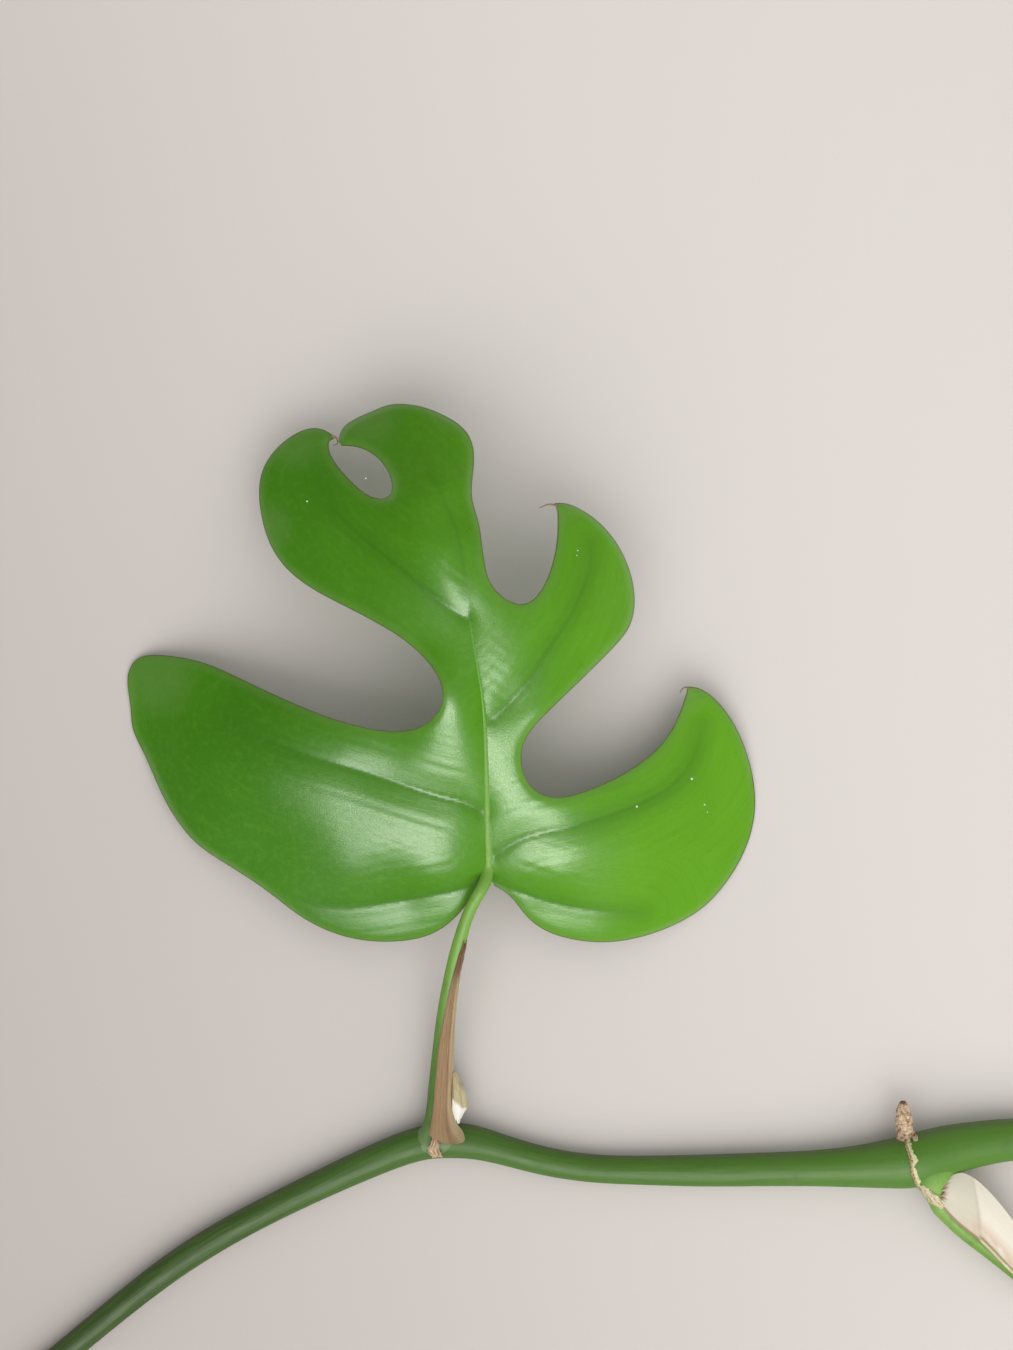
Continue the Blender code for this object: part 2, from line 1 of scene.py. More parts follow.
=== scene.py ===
"""The looks of the mini monstera cutting: blade, stalks, stem, dried sheaths, root stub and finishes.

Lengths are millimetres of the frame unless a name says otherwise.
"""
import math

import bmesh
import bpy
import numpy as np
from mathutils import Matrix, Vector
from mathutils.bvhtree import BVHTree
from mathutils.geometry import delaunay_2d_cdt
from mathutils.kdtree import KDTree

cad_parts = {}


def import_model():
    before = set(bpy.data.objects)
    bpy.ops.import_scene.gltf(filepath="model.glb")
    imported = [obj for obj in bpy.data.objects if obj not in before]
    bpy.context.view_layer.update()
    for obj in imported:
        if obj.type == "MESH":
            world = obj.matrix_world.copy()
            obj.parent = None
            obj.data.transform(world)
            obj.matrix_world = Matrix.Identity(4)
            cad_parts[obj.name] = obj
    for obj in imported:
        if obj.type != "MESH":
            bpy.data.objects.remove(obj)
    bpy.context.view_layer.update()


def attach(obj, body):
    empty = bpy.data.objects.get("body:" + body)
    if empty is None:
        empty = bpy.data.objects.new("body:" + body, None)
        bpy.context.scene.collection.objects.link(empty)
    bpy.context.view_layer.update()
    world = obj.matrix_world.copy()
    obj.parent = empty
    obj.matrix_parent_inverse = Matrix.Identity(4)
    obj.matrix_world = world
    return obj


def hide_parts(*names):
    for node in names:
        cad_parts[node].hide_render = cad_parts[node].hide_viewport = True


METRES_PER_MM = 0.001
# Edges that turn by more degrees than this are shaded as edges
SHARP_ANGLE = 60

# Lamps: azimuth and elevation in degrees, distance from the leaf, width and height in metres, watts,
# and whether the lamp is seen only in gloss, or else only lights what is matt
LAMPS = {
    "gloss_window": (-98.0, 53.0, 1.0, 0.76, 0.36, 8.6, True),
    "front_window": (-100.0, 50.0, 1.5, 2.2, 1.6, 19.5, False),
    "right_window": (-15.0, 40.0, 1.5, 3.0, 3.0, 19.0, False),
    "top_fill": (100.0, 66.0, 1.7, 3.2, 3.2, 12.0, False),
}
# The place that they shine at, in metres
LAMP_AIM = Vector((-0.01, 0.02, 0.02))
LAMP_COLOUR = (1.0, 0.98, 0.96)
# Weak light from all round, which gloss doesn't show
WORLD_COLOUR = (0.95, 0.96, 1.0, 1.0)
WORLD_STRENGTH = 0.3
# The floor reaches this many metres either way
FLOOR_REACH = 6.0

# Camera over the cutting: where its axis meets the surface, its height and its lens
CAMERA_PLACE = (-7.9, 52.9, 517.5)
CAMERA_LENS = 60.0

# Stem: x, y and diameter at each place, from the lower left cut to the right cut
STEM_ROUTE = (
    (-121.5, -112.5, 5.7), (-101.0, -95.5, 5.8), (-81.5, -80.5, 6.2), (-60.5, -68.5, 6.3),
    (-40.0, -58.8, 7.0), (-28.0, -54.2, 7.6), (-21.5, -53.3, 8.0), (-15.5, -53.8, 7.6),
    (-9.0, -55.5, 6.8), (0.0, -58.0, 6.4), (11.0, -59.8, 6.3), (22.5, -60.3, 6.5),
    (36.0, -60.3, 7.1), (50.5, -60.0, 7.5), (61.5, -59.7, 8.0), (71.0, -59.2, 9.2),
    (79.0, -58.4, 10.9), (85.0, -57.4, 12.0), (92.0, -55.4, 11.2), (99.0, -54.0, 10.2),
    (107.5, -53.0, 9.4), (121.5, -52.6, 9.1),
)
STEM_FACETS = 16
# The bark stays this far above the surface
STEM_CLEARANCE = 0.02

# Leaf stalk: x, y, z and radius from the first node to the blade
STALK_ROUTE = (
    (-23.6, -55.0, 5.0, 4.5), (-23.6, -50.5, 5.1, 4.1), (-23.4, -46.6, 5.3, 3.1), (-23.1, -42.0, 5.6, 2.7),
    (-22.4, -32.2, 7.2, 2.3), (-21.6, -23.7, 9.0, 2.0), (-20.4, -15.8, 10.8, 1.75), (-18.9, -8.8, 12.4, 1.6),
    (-17.3, -3.0, 14.1, 1.4), (-15.3, 2.0, 15.8, 1.35), (-12.9, 6.0, 17.2, 1.4),
)
# The midrib stands out above and below the blade: distance up the blade and radius
RIB = ((3.0, 1.4), (6.0, 1.35), (11.0, 1.25), (20.0, 1.05), (34.0, 0.7), (48.0, 0.42), (60.0, 0.2))
# Share of its radius by which the midrib sinks into the blade
RIB_SINK = 0.72
STALK_SIDES = 40

# Leaf blade: where its base sits, then places measured from that base
BLADE_BASE = (-12.5, 5.6)
BLADE_THICKNESS = 0.7
MARGIN = {
    "left lobes": (
        (-2.2, -0.2), (-4.5, -4.2), (-9.0, -9.0), (-14.9, -12.0), (-23.6, -13.0), (-33.1, -11.6),
        (-42.2, -7.3), (-50.9, -0.9), (-62.8, 6.4), (-67.9, 10.5), (-73.3, 18.2), (-78.1, 28.3),
        (-81.2, 34.9), (-81.8, 40.2), (-82.4, 46.8), (-79.7, 51.2), (-71.7, 51.6), (-63.8, 50.0),
        (-53.1, 45.6), (-39.2, 39.7), (-29.6, 36.5), (-20.1, 35.0), (-13.0, 36.7), (-9.4, 41.2),
        (-9.9, 46.2), (-14.0, 51.7), (-19.6, 56.2), (-29.9, 61.9), (-40.7, 67.9), (-47.5, 75.0),
        (-50.8, 84.8), (-50.4, 93.3), (-46.0, 99.5), (-40.0, 102.8), (-36.2, 102.3), (-34.3, 101.0),
    ),
    "window": (
        (-34.2, 100.2), (-35.0, 99.9), (-35.2, 98.2), (-33.6, 94.7), (-28.9, 89.3), (-24.1, 86.1),
        (-21.0, 86.5), (-20.6, 89.8), (-24.0, 95.3), (-28.7, 98.0), (-32.2, 98.5),
    ),
    "end lobe": (
        (-33.0, 99.4), (-32.7, 101.3), (-31.0, 103.7), (-25.1, 106.4), (-21.4, 107.6), (-15.1, 107.1),
        (-8.6, 104.4), (-4.4, 101.1), (-2.6, 96.2), (-2.9, 89.4), (-2.8, 85.1), (-1.4, 80.0),
        (0.0, 70.8), (2.5, 65.3), (7.7, 62.6), (11.4, 64.7), (14.2, 70.2), (15.7, 77.3), (15.8, 83.4),
    ),
    "right upper lobe": (
        (15.2, 85.1), (17.9, 85.1), (24.0, 82.1), (29.8, 75.6), (33.0, 66.7), (32.3, 58.9),
        (27.5, 52.6), (16.3, 41.8), (9.5, 34.5), (7.9, 29.6), (9.5, 23.6), (13.9, 20.6),
        (19.4, 20.9), (29.8, 24.9), (38.3, 30.7), (42.7, 36.6), (45.3, 43.2),
    ),
    "right lower lobe": (
        (45.6, 44.7), (48.9, 44.0), (54.5, 39.1), (59.3, 30.2), (61.7, 19.0), (59.5, 7.5),
        (52.6, -3.2), (45.2, -8.8), (33.8, -12.6), (23.0, -13.0), (13.9, -10.6), (8.9, -6.7),
        (5.3, -2.2), (1.6, 0.2),
    ),
}
# Chosen heights of the blade's middle over the surface: x, y and z
HEIGHTS = {
    "midrib": (
        (0.0, 0.0, 16.5), (0.5, 11.0, 20.5), (0.0, 28.5, 26.5), (-1.5, 46.0, 31.5), (-3.5, 63.5, 34.4),
        (-6.5, 76.5, 34.5), (-10.0, 87.5, 31.5), (-18.0, 107.5, 17.0),
    ),
    "left lobe": (
        (-10.5, -10.0, 11.6), (-25.0, -13.0, 8.8), (-42.0, -7.0, 8.0), (-56.0, 2.5, 6.0), (-70.0, 13.0, 3.2),
        (-81.0, 34.5, 0.0), (-82.5, 48.0, 0.4), (-74.5, 51.5, 3.5), (-60.0, 48.5, 10.0), (-39.0, 40.0, 20.8),
        (-20.0, 35.0, 25.3), (-12.5, 12.0, 21.8), (-13.0, 3.5, 18.8), (-30.0, 13.0, 19.8), (-31.0, 4.0, 16.4),
        (-18.0, -3.2, 13.6), (-33.0, -4.8, 11.2), (-9.5, 43.0, 32.6), (-8.0, 30.0, 27.8),
        (-48.5, 22.5, 17.6), (-32.0, 29.0, 23.0), (-20.0, 26.5, 24.2), (-50.0, 10.0, 11.5),
        (-65.0, 31.5, 10.8),
    ),
    "upper left lobe": (
        (-14.0, 52.0, 29.0), (-30.0, 62.0, 22.5), (-41.5, 68.5, 16.5), (-51.0, 84.5, 11.5),
        (-46.0, 100.0, 10.5), (-34.0, 101.0, 13.0), (-34.5, 81.5, 21.0), (-22.0, 86.0, 26.0),
        (-18.5, 66.0, 29.5),
    ),
    "end lobe": (
        (-32.0, 98.5, 15.5), (-31.0, 104.0, 13.0), (-8.5, 104.5, 20.0), (-3.0, 94.5, 24.5),
        (-2.5, 83.0, 30.0),
    ),
    "right upper lobe": (
        (7.5, 62.5, 32.2), (15.5, 82.5, 23.5), (25.0, 81.5, 18.0), (33.0, 66.5, 15.0), (25.0, 50.0, 21.0),
        (13.0, 38.5, 27.0), (19.5, 61.5, 26.5), (5.0, 49.0, 30.8), (5.5, 41.0, 28.6),
    ),
    "right lower lobe": (
        (8.0, 29.5, 25.5), (15.0, 20.5, 23.0), (30.0, 25.0, 17.5), (43.5, 37.5, 10.5), (46.0, 44.0, 9.0),
        (58.0, 32.5, 3.2), (61.5, 17.5, 0.0), (57.0, 2.0, 0.9), (44.0, -9.0, 3.0), (26.0, -13.0, 8.2),
        (10.0, -8.0, 11.6), (16.5, 8.0, 19.9), (16.0, 3.0, 18.0), (15.0, -3.4, 13.6), (34.5, 10.5, 15.8),
        (48.5, 19.0, 9.3),
    ),
}
# How loosely the blade follows these heights
FORM_SOFTNESS = 1.5
# Each vein is a crease: its depth, the width over which it fades, then its course from the midrib
VEINS = {
    "midrib": (1.7, 5.5, (
        (0.7, 1.0), (0.5, 11.0), (0.3, 20.0), (-0.3, 37.5), (-1.6, 48.5), (-3.3, 59.0), (-4.2, 67.5),
        (-5.5, 75.5), (-7.7, 82.0), (-10.3, 88.0), (-13.5, 94.5), (-16.0, 101.0),
    )),
    "left main": (1.5, 5.0, (
        (-1.2, 17.2), (-4.6, 19.2), (-10.0, 20.7), (-19.0, 23.5), (-30.0, 27.0), (-39.0, 29.5), (-48.5, 33.0),
        (-57.5, 38.0),
    )),
    "left lower": (1.1, 4.0, (
        (-1.6, 1.3), (-5.8, -0.5), (-10.2, -1.4), (-19.5, -3.2), (-30.5, -4.9), (-39.5, -4.7),
    )),
    "upper left": (1.2, 5.0, (
        (-4.6, 59.8), (-10.0, 63.5), (-16.5, 69.0), (-22.0, 73.5), (-27.5, 78.0), (-33.5, 84.0),
        (-37.5, 90.5),
    )),
    "right upper": (0.9, 4.5, (
        (1.4, 37.7), (3.1, 39.0), (6.0, 42.0), (9.0, 45.5), (12.0, 50.5), (15.0, 55.0), (18.0, 59.5),
        (20.0, 63.5), (22.5, 70.0), (23.0, 76.0),
    )),
    "right main": (1.0, 4.5, (
        (1.9, 7.2), (5.3, 9.6), (9.7, 11.8), (16.5, 13.3), (25.5, 15.6), (34.5, 18.7), (41.5, 22.5),
        (45.0, 26.0), (47.5, 30.5), (49.0, 36.0),
    )),
    "right lower": (1.0, 4.0, (
        (2.1, 1.4), (5.3, -0.3), (9.8, -1.8), (14.5, -3.3), (20.0, -4.6), (25.5, -5.4), (35.0, -6.2),
    )),
}
# A vein's depth falls off to its end by this share, under a square root
VEIN_FADING = 0.96
# Distance between the places of the blade's mesh
FINE_SPACING = 0.62
# The margin curls down by this much, over this width
MARGIN_CURL = (0.5, 1.8)
# Where the blade meets the surface its curve turns this softly
REST_SOFTNESS = 0.8
# Shallow waves beside the upper midrib: their middle, reach, spacing and height
WRINKLES = ((2.6, 47.0), (2.8, 11.0), 3.1, 0.018)
# How near to a vein's line its crease turns round instead of sharp
CREASE_ROUNDING = 0.3
# A narrow groove along each vein: its depth and width
GROOVE = (0.22, 1.1)
# Fine side veins run beside the main ones: their spacing, rise and reach
SIDE_VEINS = (3.6, 0.045, 10.0)
# Painted sheen: the lobes pale and grey towards their ends, as a grazing sheen there: middle and reach
TIP_SHEEN_PLACES = (
    (-26.0, 105.0, 9.0), (-43.0, 101.0, 10.0), (-75.0, 47.0, 12.0), (15.5, 84.5, 7.0), (45.5, 43.5, 6.0),
    (-49.0, 80.0, 8.0), (-8.0, 106.0, 7.0),
)
# Dried beads of sap on the blade. The last one stands in the window between two lobes by mistake
SAP_BEADS = (
    (-39.7, 85.9), (20.0, 73.5), (20.2, 74.6), (33.6, 18.0), (46.3, 23.9), (49.3, 18.0), (50.0, 16.3),
    (-26.4, 90.6),
)
# Their radius, and how far it varies
BEAD_RADIUS = (0.24, 0.08)
# A bead's rings: lean, rise and share of its radius. A route straight up would have no sideways direction
BEAD_RINGS = ((0.0, -0.12, 1.0), (0.01, 0.06, 0.95), (0.02, 0.2, 0.6), (0.03, 0.28, 0.1))
# Thin dry threads at the ends of three lobes, in the blade's own frame, with heights
THREADS = {
    "upper_left": (
        (-34.6, 100.9, 13.0), (-33.8, 100.6, 13.2), (-33.3, 99.9, 13.3), (-33.5, 99.0, 13.2),
        (-34.3, 98.9, 12.9),
    ),
    "right_upper": (
        (15.9, 84.5, 22.6), (14.6, 84.8, 22.8), (13.4, 84.7, 22.8), (12.4, 84.3, 22.5), (11.8, 84.1, 22.2),
    ),
    "right_lower": ((46.0, 44.2, 9.0), (45.0, 44.5, 9.2), (44.2, 44.0, 9.3), (43.8, 43.3, 9.1)),
}
THREAD_RADII = (0.26, 0.08)

# Where a stalk's base clasps the stem: middle and reach in x, then middle and reach of the turn in degrees
LEAF_CLASP = (-23.9, 4.7, 42.0, 104.0)
SECOND_CLASP = (89.4, -5.2, 155.0, -56.0)
# The y at which the clasp ends and the round stalk begins
LEAF_CLASP_END = -42.5
SECOND_CLASP_END = -68.0
# How far a clasp runs on from the stalk and along the stem's skin, and how thick it lies there and sinks in
CLASP_REACH = (6.0, 7.0)
CLASP_THICKNESS = 0.95
CLASP_SINK = 0.3
CLASP_RINGS = 18
# Rings over which the clasp's finish turns from the stem's skin to the stalk's
FOOT_RINGS = 11.0

# Thickness of the dried sheaths and the collar, of the axil scale and of the scraps
SHEATH_THICKNESS = 0.22
SCALE_THICKNESS = 0.3
SCRAP_THICKNESS = 0.2

# Dried sheath: columns round the stalk by angle, start above the node and flare at the node
SHEATH_COLUMNS = (
    (112.0, 2.6, 0.1), (90.0, 1.6, 0.1), (72.0, 0.9, 0.3), (54.0, 0.7, 1.4), (40.0, 1.9, 3.6),
    (22.0, 4.9, 0.7), (0.0, 5.2, 0.2), (-22.0, 5.8, 0.1),
)
SHEATH_FOOT = -53.5
SHEATH_LENGTH = 47.0
SHEATH_TIP_ANGLE = 33.0
# Space between the stalk's skin and the middle of the sheath
SHEATH_STAND_OFF = 0.1
SHEATH_NOTCHES = 15.0
# Two ridges run along it: where they lie across it
SHEATH_RIDGES = (0.1, 0.52)

# Axil scale: right edge, left edge and y from its foot to its tip
SCALE_EDGES = (
    (-18.1, -20.1, -48.3), (-17.5, -20.1, -46.9), (-16.8, -20.1, -45.2), (-17.1, -20.1, -43.2),
    (-18.2, -20.1, -40.2), (-19.6, -20.1, -37.4),
)
SCALE_HEIGHTS = (6.9, 4.4)
SCALE_LIFT = 1.6

# Aerial root: its ends and its radii from foot to tip
ROOT_BASE = (82.8, -54.0, 6.4)
ROOT_TIP = (82.0, -43.8, 7.0)
ROOT_RADII = (1.6, 1.75, 1.9, 1.82, 1.95, 1.87, 2.0, 1.88, 1.85, 1.62, 1.5, 1.1, 0.55)

# Dried collar: turn from the leaf's side, x of its brown edge and width of its pale band
COLLAR_PATH = (
    (8.0, 82.6, 0.6), (24.0, 82.4, 0.8), (43.0, 82.4, 0.5), (64.0, 82.8, 0.9), (76.0, 83.0, 1.2),
    (86.0, 83.2, 0.3), (98.0, 83.3, 0.4), (114.0, 83.9, 0.5), (133.0, 84.6, 0.4), (152.0, 85.3, 0.3),
)
COLLAR_RISE = 0.35

# Second stalk: x, y, z and radius from the second node to its cut
SECOND_STALK_SIDES = 48
SECOND_STALK_ROUTE = (
    (86.0, -59.0, 6.6, 3.2), (88.3, -64.6, 6.2, 2.8), (91.6, -68.8, 5.6, 2.2), (95.8, -73.1, 5.0, 2.0),
    (101.2, -77.5, 4.4, 1.9), (107.0, -82.3, 3.8, 1.75), (114.0, -88.1, 3.2, 1.65),
)
# Pale sheath of the second stalk: where it sits on the stalk, then its free edge
WING_SEAT = (
    (90.2, -66.6, 8.0), (92.6, -69.6, 7.7), (96.3, -73.0, 7.0), (99.6, -75.6, 6.6), (104.0, -80.0, 6.0),
    (108.4, -84.4, 5.5), (112.3, -87.6, 5.0),
)
WING_EDGE = (
    (90.9, -61.6, 8.8), (94.7, -59.7, 8.6), (99.1, -61.9, 9.1), (103.6, -66.6, 9.2), (107.2, -71.2, 8.8),
    (112.0, -77.6, 8.0),
)
# How far it bulges, and how far its second panel stands over the first
WING_BULGE = 1.3
WING_FOLD = 0.4
# The wing's fold, as shares of its length at the stalk and at its free edge
FOLD_PLACE = (0.44, 0.24)

# Scraps of skin that lie on the stem and stalks: left edge, right edge and how far they stand off
SCRAPS = {
    "sheath_flap": (
        (-24.0, -49.7, -22.9, -49.7, 0.15), (-24.6, -51.6, -22.8, -51.4, 0.3),
        (-25.2, -53.4, -23.2, -53.2, 0.4), (-25.4, -55.0, -23.0, -54.8, 0.5),
        (-24.7, -56.5, -22.4, -56.4, 0.8),
    ),
    "node_fray": (
        (85.4, -62.6, 86.2, -62.1, 0.05), (86.5, -64.7, 87.8, -63.5, 0.1), (88.2, -66.4, 89.7, -65.0, 0.15),
        (90.5, -68.0, 91.6, -67.0, 0.1),
    ),
    "wing_scrap": (
        (91.9, -63.2, 92.6, -62.2, 0.1), (92.6, -62.1, 93.5, -61.0, 0.25), (93.8, -61.2, 94.6, -60.1, 0.3),
        (95.0, -60.5, 95.4, -59.9, 0.1),
    ),
    "root_scrap": (
        (83.9, -50.9, 84.8, -50.8, 0.1), (83.8, -51.6, 85.1, -51.5, 0.35), (84.2, -52.4, 84.9, -52.2, 0.15),
    ),
}


class Signal:
    """A number that varies over a surface, with arithmetic that adds the nodes for it."""

    def __init__(self, finish, socket):
        self.finish = finish
        self.socket = socket

    def maths(self, operation, first, second):
        return self.finish.node("Math", {"operation": operation}, {0: first, 1: second})

    def __add__(self, other):
        return self.maths("ADD", self, other)

    __radd__ = __add__

    def __sub__(self, other):
        return self.maths("SUBTRACT", self, other)

    def __rsub__(self, other):
        return self.maths("SUBTRACT", other, self)

    def __mul__(self, other):
        return self.maths("MULTIPLY", self, other)

    __rmul__ = __mul__

    def between(self, low, high):
        """From 0 at low to 1 at high, with soft ends."""
        settings = {"interpolation_type": "SMOOTHSTEP"}
        return self.finish.node("MapRange", settings, {"Value": self, "From Min": low, "From Max": high})


class Finish:
    """A material made of nodes."""

    def __init__(self, name, roughness=0.5, **constants):
        self.material = bpy.data.materials.new(name)
        self.material.use_nodes = True
        self.tree = self.material.node_tree
        self.surface = self.tree.nodes["Principled BSDF"]
        self.surface.inputs["Roughness"].default_value = roughness
        for socket, value in constants.items():
            self.surface.inputs[socket.replace("_", " ")].default_value = value

    def node(self, kind, settings=None, values=None, output=0):
        """A node of one kind, with its settings made first and then its sockets filled or linked."""
        made = self.tree.nodes.new("ShaderNode" + kind)
        for key, value in (settings or {}).items():
            setattr(made, key, value)
        for key, value in (values or {}).items():
            self.fill(made.inputs[key], value)
        return Signal(self, made.outputs[output])

    def fill(self, socket, value):
        if isinstance(value, Signal):
            self.tree.links.new(value.socket, socket)
        elif isinstance(value, tuple) and len(value) == 3 and socket.type == "RGBA":
            socket.default_value = (*value, 1.0)
        else:
            socket.default_value = value

    def millimetres(self, stretch=(1.0, 1.0, 1.0)):
        """The place on the piece in millimetres, stretched by direction."""
        place = self.node("TexCoord", output="Object")
        scale = tuple(factor / METRES_PER_MM for factor in stretch)
        return self.node("VectorMath", {"operation": "MULTIPLY"}, {0: place, 1: scale})

    def attribute(self, name):
        """A number stored at each point of the piece's mesh."""
        settings = {"attribute_type": "GEOMETRY", "attribute_name": name}
        return self.node("Attribute", settings, output="Fac")

    def combined(self, x, y, z=0.0):
        return self.node("CombineXYZ", None, {"X": x, "Y": y, "Z": z})

    def noise(self, place, size, detail=2.0, roughness=0.5):
        """Soft noise from 0 to 1 whose lumps are about this many millimetres."""
        values = {"Vector": place, "Scale": 1.0 / size, "Detail": detail, "Roughness": roughness}
        return self.node("TexNoise", None, values)

    def grain(self, across, along, detail, roughness=0.5):
        """Noise with this many lumps across a sheet and along it."""
        place = self.combined(self.attribute("across") * across, self.attribute("along") * along)
        return self.noise(place, 1.0, detail, roughness)

    def mix(self, share, first, second):
        """From the first colour to the second."""
        values = {0: share, 6: first, 7: second}
        return self.node("Mix", {"data_type": "RGBA"}, values, output=2)

    def colour(self, base, *layers):
        """The surface's colour: a base, and other colours over it, each by its own share."""
        for share, over in layers:
            base = self.mix(share, base, over)
        self.fill(self.surface.inputs["Base Color"], base)

    def roughness(self, value):
        self.fill(self.surface.inputs["Roughness"], value)

    def relief(self, height, depth):
        """Raises and sinks the surface's shading by up to this depth in millimetres."""
        values = {"Height": height, "Strength": 1.0, "Distance": depth * METRES_PER_MM}
        self.fill(self.surface.inputs["Normal"], self.node("Bump", None, values))


def smooth_curve(points, step):
    """Places about one step apart along a smooth curve through the points, in any number of columns."""
    knots = np.array(points, float)
    count = len(knots)
    chords = np.linalg.norm(np.diff(knots[:, :2], axis=0), axis=1)
    spans = np.sqrt(chords)
    system = np.eye(count)
    right = np.zeros_like(knots)
    for i in range(1, count - 1):
        system[i, i - 1:i + 2] = (spans[i - 1], 2 * (spans[i - 1] + spans[i]), spans[i])
        rise_after = (knots[i + 1] - knots[i]) / spans[i]
        rise_before = (knots[i] - knots[i - 1]) / spans[i - 1]
        right[i] = 6 * (rise_after - rise_before)
    bends = np.linalg.solve(system, right)
    places = []
    for i in range(count - 1):
        span = spans[i]
        pieces = max(1, round(chords[i] / step))
        for j in range(pieces):
            after = span * j / pieces
            before = span - after
            curve = (bends[i] * before ** 3 + bends[i + 1] * after ** 3) / (6 * span)
            curve += (knots[i] / span - bends[i] * span / 6) * before
            curve += (knots[i + 1] / span - bends[i + 1] * span / 6) * after
            places.append(curve)
    places.append(knots[-1])
    return np.array(places)


def unit(vectors):
    """Vectors of length one."""
    return vectors / np.linalg.norm(vectors, axis=-1, keepdims=True)


def frames(centres):
    """The right-hand and upward directions across a route, seen along it."""
    along = unit(np.gradient(centres, axis=0))
    side = unit(np.cross(along, (0.0, 0.0, 1.0)))
    return side, np.cross(side, along)


def soft_step(values, low, high):
    """From 0 at low to 1 at high, with soft ends."""
    share = np.clip((values - low) / (high - low), 0.0, 1.0)
    return share * share * (3.0 - 2.0 * share)


def add_piece(name, vertices, faces, finish, node, attributes=None, sharp_angle=None):
    """A visible piece that rides on the body and stands for a node of the frame."""
    mesh = bpy.data.meshes.new(name)
    mesh.from_pydata((np.array(vertices) * METRES_PER_MM).tolist(), [], faces)
    for key, values in (attributes or {}).items():
        stored = mesh.attributes.new(key, "FLOAT", "POINT")
        stored.data.foreach_set("value", np.asarray(values, dtype=np.float32))
    shape = bmesh.new()
    shape.from_mesh(mesh)
    bmesh.ops.recalc_face_normals(shape, faces=shape.faces)
    shape.to_mesh(mesh)
    shape.free()
    mesh.shade_smooth()
    if sharp_angle:
        mesh.set_sharp_from_angle(angle=math.radians(sharp_angle))
    piece = bpy.data.objects.new(name, mesh)
    mesh.materials.append(finish.material)
    bpy.context.scene.collection.objects.link(piece)
    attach(piece, "root")
    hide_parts(node)
    return piece


def loft(rings):
    """Closed skin over rings of places."""
    count, sides = rings.shape[:2]
    faces = [tuple(range(sides)), tuple(range((count - 1) * sides, count * sides))]
    for ring in range(count - 1):
        for k in range(sides):
            a = ring * sides + k
            b = ring * sides + (k + 1) % sides
            faces.append((a, b, b + sides, a + sides))
    return rings.reshape(-1, 3), faces


def rings_round(centres, reach, sides):
    """Rings of places round a route. reach has one value for each place, or one for each place and turn."""
    side, up = frames(centres)
    turns = np.arange(sides) * math.tau / sides
    around = np.cos(turns)[None, :, None] * side[:, None] + np.sin(turns)[None, :, None] * up[:, None]
    return centres[:, None] + np.reshape(reach, (len(centres), -1, 1)) * around


def ribbon(grid, thickness):
    """A thin closed sheet over a grid of places. thickness is a number or one for each place."""
    rows, columns = grid.shape[:2]
    normals = unit(np.cross(np.gradient(grid, axis=0), np.gradient(grid, axis=1)))
    half = normals * np.broadcast_to(thickness, (rows, columns))[..., None] / 2
    upper = (grid + half).reshape(-1, 3)
    lower = (grid - half).reshape(-1, 3)
    count = rows * columns
    faces = []
    for i in range(rows - 1):
        for j in range(columns - 1):
            a = i * columns + j
            faces.append((a, a + 1, a + columns + 1, a + columns))
            faces.append((a + count, a + columns + count, a + columns + 1 + count, a + 1 + count))
    rim = list(range(columns))
    rim += [i * columns + columns - 1 for i in range(1, rows)]
    rim += [(rows - 1) * columns + j for j in range(columns - 2, -1, -1)]
    rim += [i * columns for i in range(rows - 2, 0, -1)]
    for a, b in zip(rim, rim[1:] + rim[:1]):
        faces.append((a, a + count, b + count, b))
    return np.vstack((upper, lower)), faces


def ribbon_attributes(rows, columns):
    """Shares along and across a ribbon's grid, for both of its faces."""
    along, across = np.meshgrid(np.linspace(0.0, 1.0, rows), np.linspace(0.0, 1.0, columns), indexing="ij")
    return {"along": np.tile(along.ravel(), 2), "across": np.tile(across.ravel(), 2)}


def add_sheet(name, grid, thickness, finish, node, extra=None):
    """A dry sheet over a grid of places, as a piece of its own."""
    vertices, faces = ribbon(grid, thickness)
    attributes = ribbon_attributes(*grid.shape[:2])
    attributes.update(extra or {})
    add_piece(name, vertices, faces, finish, node, attributes, sharp_angle=SHARP_ANGLE)


def ragged(count, seed, reach, smoothness=2):
    """A seeded uneven line of values up to about one reach either way."""
    rng = np.random.default_rng(seed)
    values = rng.uniform(-1.0, 1.0, count + 4 * smoothness)
    for _ in range(smoothness):
        values = np.convolve(values, (0.25, 0.5, 0.25), mode="same")
    return reach * values[2 * smoothness:2 * smoothness + count] * (1.0 + 0.4 * smoothness)


def stem_course(step):
    """The middle of the stem and its radius. Its underside lies flat on the surface."""
    places = smooth_curve(STEM_ROUTE, step)
    radii = places[:, 2] / 2
    heights = radii * math.cos(math.pi / STEM_FACETS)
    return np.column_stack((places[:, :2], heights)), radii


STEM_CENTRES, STEM_RADII = stem_course(0.8)


def stem_at(x):
    """The stem's middle in y and z, and its radius, at one place along it."""
    columns = (STEM_CENTRES[:, 1], STEM_CENTRES[:, 2], STEM_RADII)
    return tuple(float(np.interp(x, STEM_CENTRES[:, 0], values)) for values in columns)


def on_stem(x, turn, stand_off):
    """A place on the stem's skin. It is turned from the leaf's side over the top."""
    middle_y, middle_z, radius = stem_at(x)
    reach = radius + stand_off
    return np.array((x, middle_y + reach * math.cos(turn), middle_z + reach * math.sin(turn)))


